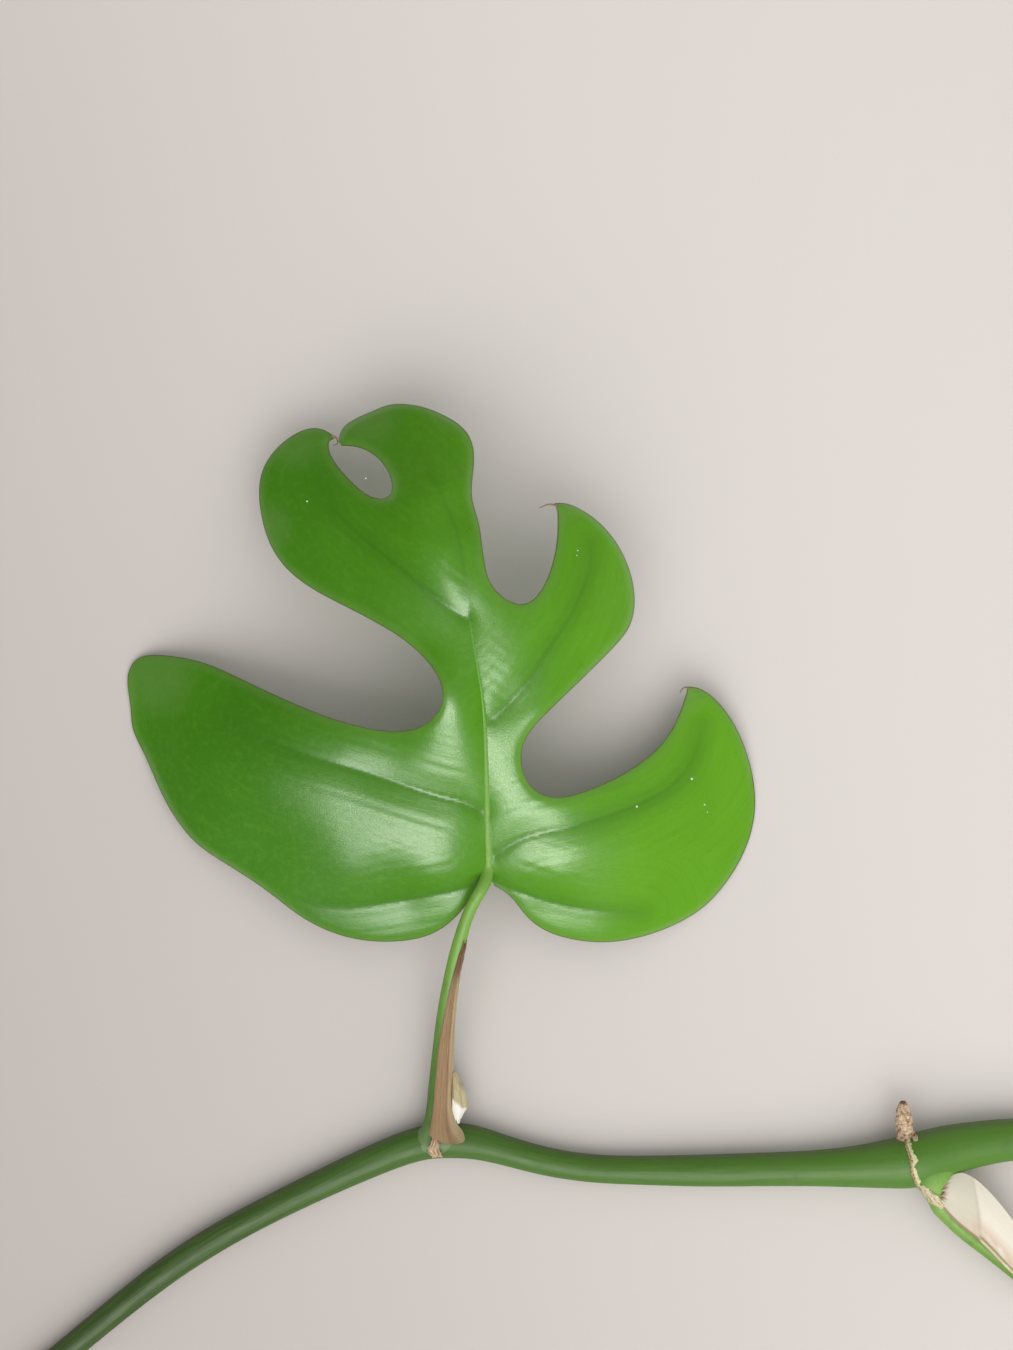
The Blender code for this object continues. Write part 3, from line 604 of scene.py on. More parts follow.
def clasp_rings(first, along, clasp):
    """Rings from the stem's skin up to the first ring of a stalk."""
    middle_x, reach_x, middle_turn, reach_turn = clasp
    count, sides = CLASP_RINGS, len(first)
    rings = np.zeros((count, sides, 3))
    for k in range(sides):
        turn = k * math.tau / sides
        rise = math.sin(turn) * (1.0 if turn < math.pi else 0.6)
        inner, foot = (
            on_stem(
                middle_x + share * reach_x * math.cos(turn),
                math.radians(middle_turn + share * reach_turn * rise),
                0.0,
            )
            for share in (0.9, 1.0)
        )
        leaving = unit(foot - inner) * CLASP_REACH[1]
        for i in range(count):
            share = 1.0 - i / count
            square, cube = share ** 2, share ** 3
            place = (2 * cube - 3 * square + 1) * first[k]
            place = place - (cube - 2 * square + share) * along * CLASP_REACH[0]
            place = place + (3 * square - 2 * cube) * foot + (cube - square) * leaving
            middle_y, middle_z, radius = stem_at(place[0])
            offset = place[1:] - (middle_y, middle_z)
            least = radius + CLASP_THICKNESS * (1.0 - share) ** 0.5 - CLASP_SINK
            place[1:] += offset * max(0.0, least / np.linalg.norm(offset) - 1.0)
            rings[i, k] = place
    return rings


def clasping_stalk(places, clasp, sides):
    """Rings of a stalk that widens at its foot over the stem's skin."""
    rings = rings_round(places[:, :3], places[:, 3], sides)
    along = unit(places[1, :3] - places[0, :3])
    return np.vstack((clasp_rings(rings[0], along, clasp), rings))


def foot_share(count, sides):
    """From 0 where a stalk lies on the stem's skin to 1 where it has left it."""
    return soft_step(np.arange(count) // sides, 0.0, FOOT_RINGS)


class Ground:
    """The skins that scraps lie on, seen from above."""

    def __init__(self, *skins):
        self.trees = [BVHTree.FromPolygons(vertices.tolist(), faces) for vertices, faces in skins]

    def height(self, x, y):
        hits = [tree.ray_cast((x, y, 100.0), (0.0, 0.0, -1.0))[0] for tree in self.trees]
        return max((hit.z for hit in hits if hit), default=0.0)


def sheet_term(places, anchors):
    """How a bent sheet rises with its distance from each anchor."""
    squares = ((places[:, None] - anchors[None]) ** 2).sum(axis=-1)
    return 0.5 * squares * np.log(np.maximum(squares, 1e-9))


def form_weights():
    """A smooth sheet through the chosen heights, as the weights of its terms."""
    places = np.array([row for rows in HEIGHTS.values() for row in rows])
    flat = places[:, :2]
    count = len(flat)
    terms = np.column_stack((np.ones(count), flat))
    system = np.zeros((count + 3, count + 3))
    system[:count, :count] = sheet_term(flat, flat) + FORM_SOFTNESS * np.eye(count)
    system[:count, count:] = terms
    system[count:, :count] = terms.T
    return flat, np.linalg.solve(system, np.append(places[:, 2], (0.0, 0.0, 0.0)))


def course_distance(places, course):
    """Each place's distance to a course, and the share of the course at the nearest point."""
    runs = np.diff(course, axis=0)
    lengths = np.linalg.norm(runs, axis=1)
    travelled = np.concatenate(([0.0], np.cumsum(lengths)))
    offsets = places[:, None] - course[None, :-1]
    share = np.clip((offsets * runs).sum(axis=-1) / lengths ** 2, 0.0, 1.0)
    distances = np.linalg.norm(offsets - share[..., None] * runs, axis=-1)
    nearest = distances.argmin(axis=1)
    rows = np.arange(len(places))
    reached = travelled[nearest] + share[rows, nearest] * lengths[nearest]
    return distances[rows, nearest], reached / travelled[-1]


class Blade:
    """The leaf blade's form: its smooth sheet, its veins and its margin."""

    def __init__(self):
        self.form = form_weights()
        self.courses = {name: smooth_curve(course, 2.8) for name, (_, _, course) in VEINS.items()}
        self.margin = np.vstack([smooth_curve(points, FINE_SPACING) for points in MARGIN.values()])
        self.margin_tree = KDTree(len(self.margin))
        for i, (x, y) in enumerate(self.margin):
            self.margin_tree.insert((x, y, 0.0), i)
        self.margin_tree.balance()

    def height(self, places):
        """The height of the middle of the blade. Where it meets the surface it lies flat."""
        anchors, weights = self.form
        height = sheet_term(places, anchors) @ weights[:-3] + weights[-3] + places @ weights[-2:]
        for name, (depth, width, _) in VEINS.items():
            distance, reached = course_distance(places, self.courses[name])
            distance = np.hypot(distance, CREASE_ROUNDING)
            strength = np.sqrt(1.0 - VEIN_FADING * reached)
            height -= depth * strength * np.exp(-distance / width)
            height -= GROOVE[0] * strength * np.exp(-distance / GROOVE[1])
            if name != "midrib":
                spacing, rise, reach = SIDE_VEINS
                waves = np.sin(math.tau * distance / spacing * (1.0 + 0.12 * np.sin(distance)))
                fading = soft_step(reached, 0.02, 0.16) * (1.0 - reached)
                height += rise * waves * fading * np.exp(-((distance - reach / 2) / reach) ** 2)
        height -= MARGIN_CURL[0] * np.exp(-self.to_margin(places) / MARGIN_CURL[1])
        middle, reach, spacing, rise = WRINKLES
        offset = places - middle
        fading = np.exp(-((offset / reach) ** 2).sum(axis=1))
        height += rise * fading * np.sin(math.tau / spacing * (offset[:, 1] + 0.7 * offset[:, 0]))
        above = height - BLADE_THICKNESS / 2
        return BLADE_THICKNESS / 2 + (above + np.sqrt(above ** 2 + REST_SOFTNESS ** 2)) / 2

    def to_margin(self, places):
        """Each place's distance to the margin."""
        return np.array([self.margin_tree.find((x, y, 0.0))[2] for x, y in places])

    def pattern(self):
        """The blade seen from above: places, and triangles between them that follow the veins."""
        fixed = [self.margin]
        edges = []
        first = len(self.margin)
        for _, _, points in VEINS.values():
            course = smooth_curve(points, FINE_SPACING)
            fixed.append(course)
            edges += [(first + i, first + i + 1) for i in range(len(course) - 1)]
            first += len(course)
        fixed = np.vstack(fixed)
        tree = KDTree(len(fixed))
        for i, (x, y) in enumerate(fixed):
            tree.insert((x, y, 0.0), i)
        tree.balance()
        low = self.margin.min(axis=0)
        high = self.margin.max(axis=0)
        row_height = FINE_SPACING * math.sqrt(3) / 2
        filling = []
        for row in range(int((high[1] - low[1]) / row_height) + 1):
            y = low[1] + row * row_height
            for x in np.arange(low[0] + FINE_SPACING / 2 * (row % 2), high[0], FINE_SPACING):
                if tree.find((x, y, 0.0))[2] > 0.62 * FINE_SPACING:
                    filling.append((x, y))
        places = np.vstack((fixed, filling))
        inside_only = 1
        outline = list(range(len(self.margin)))
        found = delaunay_2d_cdt([tuple(p) for p in places], edges, [outline], inside_only, 1e-5)
        corners = np.array([tuple(v) for v in found[0]])
        used = sorted({v for face in found[2] for v in face})
        order = {v: i for i, v in enumerate(used)}
        return corners[used], [tuple(order[v] for v in face) for face in found[2]]


def rim_edges(triangles):
    """The edges that only one triangle uses, in that triangle's own direction."""
    seen = {}
    for a, b, c in triangles:
        for start, end in ((a, b), (b, c), (c, a)):
            if (end, start) in seen:
                del seen[(end, start)]
            else:
                seen[(start, end)] = True
    return list(seen)


def make_blade(blade, finish):
    """The split blade, creased along its veins and thinned towards its margin."""
    places, triangles = blade.pattern()
    step = 0.4
    heights = blade.height(places)
    east = blade.height(places + (step, 0.0)) - blade.height(places - (step, 0.0))
    north = blade.height(places + (0.0, step)) - blade.height(places - (0.0, step))
    normals = unit(np.column_stack((-east, -north, np.full(len(places), 2 * step))))
    middle = np.column_stack((places + BLADE_BASE, heights))
    inward = blade.to_margin(places)
    half = BLADE_THICKNESS / 2 * (0.3 + 0.7 * soft_step(inward, 0.0, 1.6))
    offset = normals * half[:, None]
    count = len(places)
    faces = list(triangles)
    faces += [tuple(v + count for v in reversed(face)) for face in triangles]
    for a, b in rim_edges(triangles):
        faces.append((b, a, a + count, b + count))
    veins = np.zeros(count)
    away = np.full(count, 99.0)
    run = np.zeros(count)
    for name, course in blade.courses.items():
        distance, reached = course_distance(places, course)
        veins = np.maximum(veins, np.exp(-(distance / 0.45) ** 2) * (1.0 - reached) ** 0.5)
        if name != "midrib":
            run = np.where(distance < away, reached, run)
            away = np.minimum(away, distance)
    tip_sheen = np.zeros(count)
    for x, y, reach in TIP_SHEEN_PLACES:
        distance = np.hypot(places[:, 0] - x, places[:, 1] - y)
        tip_sheen = np.maximum(tip_sheen, 1.0 - soft_step(distance, 0.3 * reach, reach))
    stored = {"vein": veins, "tip": tip_sheen, "away": away, "run": run, "inward": inward}
    attributes = {key: np.tile(values, 2) for key, values in stored.items()}
    attributes["underside"] = np.concatenate((np.zeros(count), np.ones(count)))
    vertices = np.vstack((middle + offset, middle - offset))
    add_piece("leaf_blade", vertices, faces, finish, "leaf", attributes, sharp_angle=50)


def make_stalk(blade, finish):
    """The leaf stalk, clasping the stem, and the midrib that it runs on into along the blade."""
    places = smooth_curve(STALK_ROUTE, 0.8)
    places = places[places[:, 1] > LEAF_CLASP_END]
    midrib = smooth_curve(VEINS["midrib"][2], 0.5)
    along = np.arange(RIB[0][0], RIB[-1][0], 1.0)
    radii = np.interp(along, [row[0] for row in RIB], [row[1] for row in RIB])
    course = np.column_stack((np.interp(along, midrib[:, 1], midrib[:, 0]), along))
    heights = blade.height(course) + BLADE_THICKNESS / 2 - RIB_SINK * radii
    rib = np.column_stack((course + BLADE_BASE, heights, radii))
    places = np.vstack((places, rib))
    for _ in range(3):
        places[1:-1] = (places[:-2] + 2 * places[1:-1] + places[2:]) / 4
    vertices, faces = loft(clasping_stalk(places, LEAF_CLASP, STALK_SIDES))
    attributes = {
        "along": soft_step(vertices[:, 1], -45.0, -8.0),
        "foot": foot_share(len(vertices), STALK_SIDES),
        "blade": soft_step(vertices[:, 1], 8.0, 50.0),
    }
    add_piece("leaf_stalk", vertices, faces, finish, "leaf", attributes, SHARP_ANGLE)
    return vertices, faces


def make_threads(finish):
    """The thin dry threads in which three lobes end."""
    for name, points in THREADS.items():
        places = smooth_curve(points, 0.2)
        places[:, :2] += BLADE_BASE
        vertices, faces = loft(rings_round(places, np.linspace(*THREAD_RADII, len(places)), 8))
        add_piece("lobe_thread_" + name, vertices, faces, finish, "leaf")


def make_beads(blade, finish):
    """Dried beads of sap, as small flat domes on the blade."""
    vertices, faces = [], []
    lean, rise, share = np.array(BEAD_RINGS).T
    heights = blade.height(np.array(SAP_BEADS)) + BLADE_THICKNESS / 2
    for i, ((x, y), z) in enumerate(zip(SAP_BEADS, heights)):
        size = BEAD_RADIUS[0] + BEAD_RADIUS[1] * math.sin(5.0 * i)
        centre = np.array((x + BLADE_BASE[0], y + BLADE_BASE[1], z - 0.05))
        route = centre + np.column_stack((lean, np.zeros(len(lean)), rise))
        skin, sides = loft(rings_round(route, share * size, 10))
        faces += [tuple(v + len(vertices) for v in face) for face in sides]
        vertices += skin.tolist()
    add_piece("sap_beads", vertices, faces, finish, "leaf")


def make_stem(finish):
    """The vine stem with faint lengthwise ridges and cut ends."""
    sides = 56
    turns = np.arange(sides) * math.tau / sides
    rng = np.random.default_rng(7)
    ridges = np.zeros(sides)
    for order in range(5, 14):
        ridges += rng.uniform(0.2, 1.0) * np.cos(order * turns + rng.uniform(0, math.tau)) / order
    reach = STEM_RADII[:, None] * (1.0 + 0.006 * ridges[None])
    vertices, faces = loft(rings_round(STEM_CENTRES, reach, sides))
    vertices[:, 2] = np.maximum(vertices[:, 2], STEM_CLEARANCE)
    attributes = {
        "along": np.repeat(np.linspace(0.0, 1.0, len(STEM_CENTRES)), sides),
        "upper": np.tile(np.cos(turns), len(STEM_CENTRES)),
        "front": np.tile(np.sin(turns), len(STEM_CENTRES)),
    }
    add_piece("stem_bark", vertices, faces, finish, "stem", attributes, SHARP_ANGLE)
    return vertices, faces


def make_sheath(finish):
    """The dried sheath on the right side of the leaf stalk, fluted, torn and flared at the node."""
    places = smooth_curve(STALK_ROUTE, 0.5)
    centres, radii = places[:, :3], places[:, 3]
    side, up = frames(centres)
    steps = np.linalg.norm(np.diff(centres, axis=0), axis=1)
    travelled = np.concatenate(([0.0], np.cumsum(steps)))
    columns = smooth_curve(SHEATH_COLUMNS, 2.6)
    rows = 110
    node = float(np.interp(SHEATH_FOOT, centres[:, 1], travelled))
    top = ragged(len(columns), 3, 2.6)
    notches = np.abs(ragged(rows, 21, SHEATH_NOTCHES, smoothness=1))
    grid = np.zeros((rows, len(columns), 3))
    for i in range(rows):
        share = i / (rows - 1)
        narrowing = 1.0 - max(0.0, share - 0.45) / 0.55 * 0.55
        for j, (angle, start, flare) in enumerate(columns):
            across = j / (len(columns) - 1)
            distance = node + start + share * (SHEATH_LENGTH + top[j] * share ** 4 - start)
            turn = SHEATH_TIP_ANGLE + (angle - SHEATH_TIP_ANGLE) * narrowing
            turn = math.radians(turn + notches[i] * across ** 2 * (0.15 + 2.2 * share ** 2))
            reach = float(np.interp(distance, travelled, radii)) + SHEATH_STAND_OFF
            reach += flare * math.exp(-share * SHEATH_LENGTH / 2.6)
            reach += sum(0.3 * math.exp(-((across - ridge) / 0.07) ** 2) for ridge in SHEATH_RIDGES)
            reach += 0.08 * math.sin(j * 1.05) * (1.0 - 0.5 * share)
            centre, right, front = (
                np.array([np.interp(distance, travelled, values[:, k]) for k in range(3)])
                for values in (centres, side, up)
            )
            grid[i, j] = centre + reach * (math.cos(turn) * right + math.sin(turn) * front)
    add_sheet("leaf_sheath_dry", grid, SHEATH_THICKNESS, finish, "leaf_sheath")


def make_scale(finish):
    """The papery scale in the axil, bulging from the stalk, with its white torn lower end."""
    edges = smooth_curve(SCALE_EDGES, 0.3)
    columns = 24
    grid = np.zeros((len(edges), columns, 3))
    fray = ragged(columns, 31, 0.8, smoothness=1)
    for i, (right, left, y) in enumerate(edges):
        share = i / (len(edges) - 1)
        for j in range(columns):
            across = j / (columns - 1)
            z = SCALE_HEIGHTS[0] + (SCALE_HEIGHTS[1] - SCALE_HEIGHTS[0]) * across
            z += SCALE_LIFT * math.sin(math.pi * across) * (1.0 - 0.5 * share)
            z += 0.07 * math.sin(across * 40.0)
            grid[i, j] = (left + (right - left) * across, y + fray[j] * (1.0 - share) ** 4, z)
    add_sheet("axil_scale_paper", grid, SCALE_THICKNESS, finish, "axil_scale")


def make_root(finish):
    """The stub of the aerial root, knobbly and closed in to a dark tip."""
    count, sides = 90, 48
    share = np.linspace(0.0, 1.0, count)
    centres = np.array(ROOT_BASE) + share[:, None] * (np.array(ROOT_TIP) - np.array(ROOT_BASE))
    radii = np.interp(share, np.linspace(0.0, 1.0, len(ROOT_RADII)), ROOT_RADII)
    turns = np.arange(sides) * math.tau / sides
    rng = np.random.default_rng(19)
    lumps = np.zeros((count, sides))
    for _ in range(26):
        along, around = rng.uniform(6.0, 34.0), int(rng.integers(-6, 7))
        wave = np.cos(along * share[:, None] + around * turns[None] + rng.uniform(0.0, math.tau))
        lumps += wave * rng.uniform(0.3, 1.0)
    rings = rings_round(centres, radii[:, None] * (1.0 + 0.026 * lumps), sides)
    vertices, faces = loft(rings)
    attributes = {"along": np.repeat(share, sides)}
    add_piece("aerial_root_stub", vertices, faces, finish, "aerial_root", attributes)


def make_collar(finish):
    """The dried collar at the second node: a thin brown edge with a narrow pale band beside it."""
    path = smooth_curve(COLLAR_PATH, 1.8)
    columns = 11
    left = ragged(len(path), 11, 0.08)
    right = ragged(len(path), 12, 0.3)
    grid = np.zeros((len(path), columns, 3))
    for i, (angle, x, width) in enumerate(path):
        for j in range(columns):
            across = j / (columns - 1)
            place = x - 0.25 + left[i] * (1.0 - across) + (0.55 + width + right[i]) * across
            stand_off = 0.15 + COLLAR_RISE * math.exp(-((across - 0.2) / 0.2) ** 2)
            grid[i, j] = on_stem(place, math.radians(angle), stand_off)
    add_sheet("node_collar_dry", grid, SHEATH_THICKNESS, finish, "node_collar")


def make_second_stalk(finish):
    """The cut stalk of the next leaf, clasping the second node."""
    places = smooth_curve(SECOND_STALK_ROUTE, 0.6)
    places = places[places[:, 1] < SECOND_CLASP_END]
    vertices, faces = loft(clasping_stalk(places, SECOND_CLASP, SECOND_STALK_SIDES))
    attributes = {
        "along": soft_step(-vertices[:, 1], 60.0, 90.0),
        "foot": foot_share(len(vertices), SECOND_STALK_SIDES),
        "blade": np.zeros(len(vertices)),
    }
    add_piece(
        "second_stalk_green", vertices, faces, finish, "second_stalk", attributes, SHARP_ANGLE,
    )
    return vertices, faces


def make_wing(finish):
    """The pale sheath of the second stalk, from the stalk out to its free edge, in two panels."""
    rows, columns = 84, 44
    share = np.linspace(0.0, 1.0, rows)
    seat, edge = (
        np.column_stack([np.interp(share, np.linspace(0.0, 1.0, len(line)), line[:, k]) for k in range(3)])
        for line in (smooth_curve(WING_SEAT, 0.5), smooth_curve(WING_EDGE, 0.5))
    )
    start = ragged(columns, 41, 0.9, smoothness=1)
    grid = np.zeros((rows, columns, 3))
    fold = np.zeros((rows, columns))
    for j in range(columns):
        across = j / (columns - 1)
        line = seat + across * (edge - seat)
        place = FOLD_PLACE[0] + (FOLD_PLACE[1] - FOLD_PLACE[0]) * across
        fold[:, j] = np.exp(-((share - place) / 0.012) ** 2)
        line[:, 2] += WING_BULGE * math.sin(math.pi * across) * (0.75 + 0.35 * np.sin(math.tau * 0.9 * share))
        line[:, 2] += WING_FOLD * soft_step(share, place - 0.005, place + 0.03) * math.sin(math.pi * across)
        line[:, 0] += start[j] * (1.0 - share) ** 12
        grid[:, j] = line
    extra = {"fold": np.tile(fold.ravel(), 2)}
    add_sheet("second_sheath_pale", grid, SHEATH_THICKNESS, finish, "second_sheath", extra)


def make_scrap(name, ground, finish, node):
    """A dry scrap of skin that lies on what is under it, with ragged and lifted edges."""
    lines = smooth_curve(SCRAPS[name], 0.22)
    columns = 16
    left = ragged(len(lines), 51, 0.14, smoothness=1)
    right = ragged(len(lines), 52, 0.14, smoothness=1)
    grid = np.zeros((len(lines), columns, 3))
    for i, (left_x, left_y, right_x, right_y, stand_off) in enumerate(lines):
        for j in range(columns):
            across = j / (columns - 1)
            share = across + left[i] * (1.0 - across) + right[i] * across
            x = left_x + (right_x - left_x) * share
            y = left_y + (right_y - left_y) * share
            lift = stand_off * (0.5 + 0.9 * (2.0 * across - 1.0) ** 2)
            grid[i, j] = (x, y, ground.height(x, y) + 0.12 + lift)
    grid[1:-1, :, 2] = (grid[:-2, :, 2] + 2 * grid[1:-1, :, 2] + grid[2:, :, 2]) / 4
    add_sheet(name, grid, SCRAP_THICKNESS, finish, node)


def leaf_finish():
    """Glossy living green with painted light: darker on the left and lighter, yellower towards the right
    where the light falls; painted shade along and beside the veins; a paler rim and pale lobe ends, partly
    painted sheen; and a dull thin margin.
    """
    finish = Finish("living leaf", Specular_IOR_Level=0.7)
    place = finish.millimetres()
    cloud = finish.noise(place, 30.0)
    fine = finish.noise(place, 1.4, detail=3.0)
    grain = finish.noise(place, 0.35)
    # Painted light: the blade is coloured darker on the left and lighter, yellower on the right, where the
    # light falls
    painted_light_share = finish.node("SeparateXYZ", None, {0: place}).between(-70.0, 50.0)
    away = finish.attribute("away")
    streak = finish.noise(finish.combined(away * 0.9, finish.attribute("run") * 5.0), 1.0, detail=3.0)
    inward = finish.attribute("inward")
    under = finish.attribute("underside")
    finish.colour(
        finish.mix(painted_light_share, (0.044, 0.19, 0.002), (0.122, 0.37, 0.003)),
        (cloud.between(0.3, 0.7) * 0.3, (0.068, 0.27, 0.003)),
        (fine.between(0.45, 0.75) * 0.15, (0.13, 0.36, 0.015)),
        (streak.between(0.45, 0.75) * 0.14, (0.05, 0.20, 0.004)),
        ((1.0 - streak.between(0.25, 0.5)) * 0.08, (0.16, 0.42, 0.012)),
        # Painted shade in the creases beside the side veins
        ((1.0 - away.between(0.3, 4.5)) * 0.3, (0.04, 0.17, 0.003)),
        # Painted shade: the vein lines are darker, as shade in their creases
        (finish.attribute("vein") * 0.45, (0.035, 0.14, 0.004)),
        # Partly the leaf's own yellowish edge, partly painted sheen where the margin curls down
        ((1.0 - inward.between(0.4, 2.6)) * 0.3, (0.17, 0.31, 0.07)),
        # Painted sheen at the ends of the lobes
        (finish.attribute("tip") * 0.3, (0.15, 0.27, 0.07)),
        ((1.0 - inward.between(0.05, 0.4)) * 0.85, (0.10, 0.10, 0.045)),
        (under, (0.15, 0.34, 0.07)),
    )
    finish.roughness(0.25 + 0.08 * fine + 0.25 * under + 0.08 * grain.between(0.35, 0.65))
    finish.relief(fine * 0.5 + grain * 0.35 + streak * 0.8, 0.045)
    return finish


def stalk_finish(name, skin, low, high):
    """Satin green of a stalk: the stem's skin at its foot, then two greens along it."""
    finish = Finish(name, Specular_IOR_Level=0.4)
    streak = finish.noise(finish.millimetres((3.0, 0.25, 3.0)), 1.5, detail=3.0)
    mottle = finish.noise(finish.millimetres(), 2.2, detail=3.0)
    finish.colour(
        finish.mix(finish.attribute("along"), low, high),
        (streak.between(0.4, 0.7) * 0.3, (0.16, 0.29, 0.05)),
        (mottle.between(0.5, 0.75) * 0.25, (0.06, 0.13, 0.02)),
        (1.0 - finish.attribute("foot"), skin),
        (finish.attribute("blade"), (0.11, 0.32, 0.02)),
    )
    finish.roughness(0.42 + 0.15 * streak)
    finish.relief(streak, 0.06)
    return finish


def stem_finish():
    """Satin green of the vine, darker towards its thin end and along its upper edge, with pale cuts."""
    finish = Finish("vine stem", Specular_IOR_Level=0.45)
    along = finish.attribute("along")
    upper = finish.attribute("upper")
    place = finish.millimetres()
    turned = finish.combined(upper * 5.0, finish.attribute("front") * 5.0, along * 26.0)
    streak = finish.noise(turned, 1.0, detail=3.0)
    mottle = finish.noise(place, 4.0, detail=3.0)
    speck = finish.noise(place, 0.9, detail=3.0)
    cut = (1.0 - along.between(0.0, 0.003)) + along.between(0.997, 1.0)
    finish.colour(
        finish.mix(along.between(0.1, 0.65), (0.036, 0.078, 0.012), (0.06, 0.16, 0.013)),
        (along.between(0.6, 0.9), (0.082, 0.215, 0.018)),
        (streak.between(0.4, 0.75) * 0.3, (0.11, 0.22, 0.03)),
        (mottle.between(0.55, 0.8) * 0.3, (0.05, 0.10, 0.02)),
        ((1.0 - upper.between(-0.98, -0.72)) * 0.5, (0.07, 0.075, 0.03)),
        (speck.between(0.72, 0.78) * 0.35, (0.20, 0.26, 0.10)),
        (cut * 0.6, (0.36, 0.42, 0.20)),
    )
    finish.roughness(0.46 + 0.17 * mottle)
    finish.relief(streak, 0.09)
    return finish


def sheath_finish():
    """Dried brown sheath: a reddish inner strip, a tan outer one, long fibres and a dark tip."""
    finish = Finish("dried sheath", roughness=0.8)
    along = finish.attribute("along")
    across = finish.attribute("across")
    fibre = finish.grain(22.0, 7.0, detail=4.0, roughness=0.6)
    blotch = finish.grain(3.0, 10.0, detail=3.0)
    groove = across.between(0.33, 0.42) * (1.0 - across.between(0.44, 0.5))
    foot = (1.0 - along.between(0.02, 0.14)) * across.between(0.5, 0.8)
    tip = (along + 0.1 * blotch).between(0.84, 0.96)
    finish.colour(
        finish.mix(across.between(0.3, 0.62), (0.31, 0.195, 0.095), (0.45, 0.345, 0.195)),
        (fibre.between(0.5, 0.8) * 0.45, (0.58, 0.47, 0.32)),
        ((1.0 - fibre.between(0.2, 0.45)) * 0.6, (0.19, 0.095, 0.045)),
        (blotch.between(0.5, 0.75) * 0.4, (0.24, 0.13, 0.065)),
        (groove * 0.5, (0.17, 0.075, 0.035)),
        (foot * 0.7, (0.66, 0.56, 0.42)),
        (across.between(0.9, 1.0) * 0.6, (0.60, 0.50, 0.36)),
        (tip * 0.9, (0.16, 0.08, 0.04)),
    )
    finish.relief(fibre, 0.3)
    return finish


def scale_finish():
    """Khaki papery scale with a nearly white torn end."""
    finish = Finish("papery scale", roughness=0.75)
    along = finish.attribute("along")
    across = finish.attribute("across")
    fibre = finish.grain(12.0, 4.0, detail=4.0)
    torn = 1.0 - (along + 0.12 * across).between(0.33, 0.38)
    finish.colour(
        finish.mix(fibre.between(0.3, 0.7), (0.40, 0.33, 0.17), (0.62, 0.55, 0.34)),
        ((1.0 - across.between(0.0, 0.25)) * 0.6, (0.22, 0.15, 0.07)),
        (torn * 0.92, (0.90, 0.88, 0.82)),
    )
    finish.relief(fibre, 0.15)
    return finish


def scrap_finish(name, dark, light):
    """Dry skin with lengthwise fibres and dark cracks."""
    finish = Finish(name, roughness=0.85)
    fibre = finish.grain(5.0, 3.0, detail=5.0, roughness=0.65)
    crumb = finish.noise(finish.millimetres(), 0.8, detail=4.0)
    finish.colour(
        finish.mix(fibre.between(0.35, 0.6), dark, light),
        (crumb.between(0.5, 0.7) * 0.45, tuple(0.6 * value for value in light)),
    )
    finish.relief(fibre + crumb, 0.2)
    return finish


def root_finish():
    """Dry tan root skin, cracked all over, brown at its foot and dark at its tip."""
    finish = Finish("root skin", roughness=0.85)
    along = finish.attribute("along")
    crust = finish.noise(finish.millimetres((1.0, 1.5, 1.0)), 1.1, detail=5.0, roughness=0.68)
    crumb = finish.noise(finish.millimetres(), 0.5, detail=3.0)
    finish.colour(
        finish.mix(crumb.between(0.35, 0.65), (0.50, 0.34, 0.20), (0.78, 0.60, 0.41)),
        ((1.0 - crust.between(0.38, 0.52)) * 0.85, (0.20, 0.10, 0.045)),
        ((1.0 - along.between(0.1, 0.4)) * crumb.between(0.4, 0.6) * 0.7, (0.17, 0.08, 0.04)),
        (along.between(0.93, 0.99) * 0.85, (0.085, 0.045, 0.03)),
    )
    finish.relief(crust + 0.5 * crumb, 0.4)
    return finish


def collar_finish():
    """Thin brown edge beside pale yellowish skin."""
    finish = Finish("dried collar", roughness=0.8)
    mottle = finish.grain(3.0, 26.0, detail=3.0)
    edge = (finish.attribute("across") + 0.35 * mottle).between(0.42, 0.56)
    brown = finish.mix(mottle.between(0.35, 0.6), (0.17, 0.09, 0.04), (0.46, 0.34, 0.17))
    pale = finish.mix(mottle.between(0.4, 0.7), (0.68, 0.66, 0.40), (0.42, 0.42, 0.20))
    finish.colour(brown, (edge, pale))
    finish.relief(mottle, 0.15)
    return finish


def wing_finish():
    """Cream papery sheath: brown scraps at its start, an olive line and pinkish stains by the stalk, and
    painted shade along its fold.
    """
    finish = Finish("pale sheath", roughness=0.7)
    along = finish.attribute("along")
    across = finish.attribute("across")
    fibre = finish.grain(26.0, 5.0, detail=3.0)
    patch = finish.grain(4.0, 6.0, detail=4.0)
    second = (along + 0.2 * across).between(0.42, 0.46)
    stain = (1.0 - across.between(0.12, 0.55)) * along.between(0.1, 0.5) * patch.between(0.3, 0.55)
    olive = across.between(0.05, 0.07) * (1.0 - across.between(0.10, 0.13)) * second
    seam = (1.0 - across.between(0.03, 0.07)) * (1.0 - second)
    scraps = (1.0 - along.between(0.01, 0.07)) * patch.between(0.35, 0.5)
    finish.colour(
        finish.mix(second, (0.60, 0.57, 0.45), (0.74, 0.70, 0.58)),
        (fibre.between(0.5, 0.75) * 0.25, (0.60, 0.53, 0.40)),
        (stain * 0.75, (0.60, 0.40, 0.27)),
        (olive * 0.85, (0.22, 0.24, 0.08)),
        (seam * 0.85, (0.27, 0.15, 0.07)),
        # Painted shade along the fold
        (finish.attribute("fold") * 0.35, (0.42, 0.35, 0.25)),
        (scraps * 0.9, (0.26, 0.14, 0.07)),
    )
    finish.relief(fibre, 0.05)
    return finish


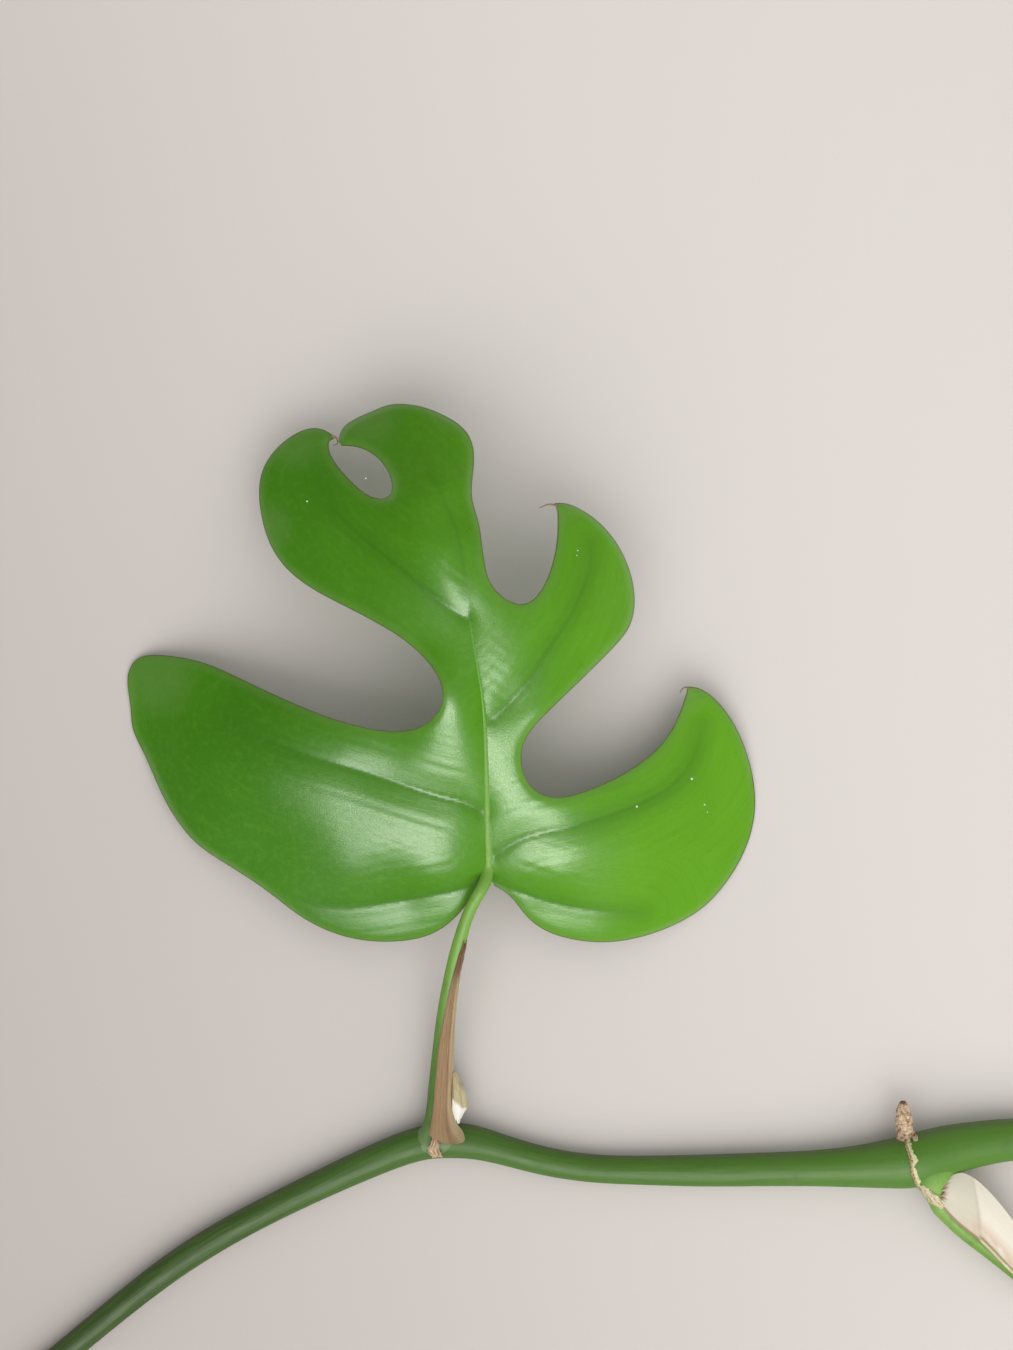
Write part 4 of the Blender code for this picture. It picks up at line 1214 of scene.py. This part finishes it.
def thread_finish():
    """Dry brown thread."""
    finish = Finish("dry thread", roughness=0.7)
    mottle = finish.noise(finish.millimetres(), 0.6, detail=2.0)
    finish.colour(finish.mix(mottle, (0.10, 0.06, 0.03), (0.36, 0.25, 0.14)))
    finish.relief(mottle, 0.05)
    return finish


def bead_finish():
    """Dried whitish sap."""
    finish = Finish("dried sap", roughness=0.5)
    mottle = finish.noise(finish.millimetres(), 0.4)
    finish.colour(finish.mix(mottle, (0.72, 0.74, 0.66), (0.85, 0.86, 0.80)))
    return finish


def floor_finish():
    """Pale matt surface with painted light: darker to the left and bottom, lighter to the right and top."""
    finish = Finish("pale surface", roughness=0.9)
    place = finish.millimetres()
    across = finish.node("SeparateXYZ", None, {0: place})
    up = finish.node("SeparateXYZ", None, {0: place}, output="Y")
    mottle = finish.noise(place, 120.0)
    # Painted light: the floor lightens to the right and top as if lit from there, with soft patches
    share = (across + up * 0.5 + mottle * 20.0).between(-260.0, 190.0)
    finish.colour((0.43, 0.395, 0.37), (share, (0.69, 0.65, 0.62)))
    return finish


def make_floor():
    """The pale surface that the cutting lies on."""
    mesh = bpy.data.meshes.new("surface")
    corners = [(x * FLOOR_REACH, y * FLOOR_REACH, 0.0) for x, y in ((-1, -1), (1, -1), (1, 1), (-1, 1))]
    mesh.from_pydata(corners, [], [(0, 1, 2, 3)])
    floor = bpy.data.objects.new("surface", mesh)
    mesh.materials.append(floor_finish().material)
    bpy.context.scene.collection.objects.link(floor)


def add_lamp(name, azimuth, elevation, distance, width, height, watts, gloss_only):
    """A soft rectangular lamp that shines at the leaf from one direction."""
    turn = math.radians(azimuth)
    rise = math.radians(elevation)
    reach = distance * math.cos(rise)
    offset = Vector((reach * math.cos(turn), reach * math.sin(turn), distance * math.sin(rise)))
    lamp = bpy.data.lights.new(name, "AREA")
    lamp.shape = "RECTANGLE"
    lamp.size = width
    lamp.size_y = height
    lamp.energy = watts
    lamp.color = LAMP_COLOUR
    holder = bpy.data.objects.new(name, lamp)
    holder.location = LAMP_AIM + offset
    holder.rotation_euler = (-offset).to_track_quat("-Z", "Y").to_euler()
    holder.visible_camera = False
    holder.visible_glossy = gloss_only
    holder.visible_diffuse = not gloss_only
    bpy.context.scene.collection.objects.link(holder)


def make_lights():
    """A window that only the gloss shows, broad soft light from three sides, and weak light all round."""
    for name, row in LAMPS.items():
        add_lamp(name, *row)
    world = bpy.data.worlds.new("soft studio")
    bpy.context.scene.world = world
    world.use_nodes = True
    background = world.node_tree.nodes["Background"]
    background.inputs["Color"].default_value = WORLD_COLOUR
    background.inputs["Strength"].default_value = WORLD_STRENGTH
    world.cycles_visibility.glossy = False


def make_camera():
    """The camera straight above the cutting."""
    data = bpy.data.cameras.new("view")
    data.lens = CAMERA_LENS
    camera = bpy.data.objects.new("view", data)
    camera.location = Vector(CAMERA_PLACE) * METRES_PER_MM
    bpy.context.scene.collection.objects.link(camera)
    bpy.context.scene.camera = camera
    bpy.context.scene.view_settings.view_transform = "Standard"


def main():
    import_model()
    make_camera()
    make_lights()
    make_floor()
    blade = Blade()
    make_blade(blade, leaf_finish())
    leaf_skin = stalk_finish("leaf stalk", (0.13, 0.21, 0.075), (0.078, 0.17, 0.029), (0.18, 0.38, 0.055))
    leaf_stalk = make_stalk(blade, leaf_skin)
    make_threads(thread_finish())
    make_beads(blade, bead_finish())
    stem = make_stem(stem_finish())
    make_sheath(sheath_finish())
    make_scale(scale_finish())
    make_root(root_finish())
    make_collar(collar_finish())
    second_skin = stalk_finish("second stalk", (0.085, 0.22, 0.022), (0.24, 0.43, 0.085), (0.12, 0.27, 0.025))
    second_stalk = make_second_stalk(second_skin)
    make_wing(wing_finish())
    ground = Ground(stem, leaf_stalk, second_stalk)
    flap = scrap_finish("torn flap", (0.19, 0.095, 0.045), (0.60, 0.45, 0.29))
    fray = scrap_finish("frayed skin", (0.30, 0.24, 0.09), (0.76, 0.68, 0.47))
    make_scrap("sheath_flap", ground, flap, "leaf_sheath")
    make_scrap("node_fray", ground, fray, "second_sheath")
    make_scrap("wing_scrap", ground, fray, "second_sheath")
    make_scrap("root_scrap", ground, fray, "node_collar")


main()
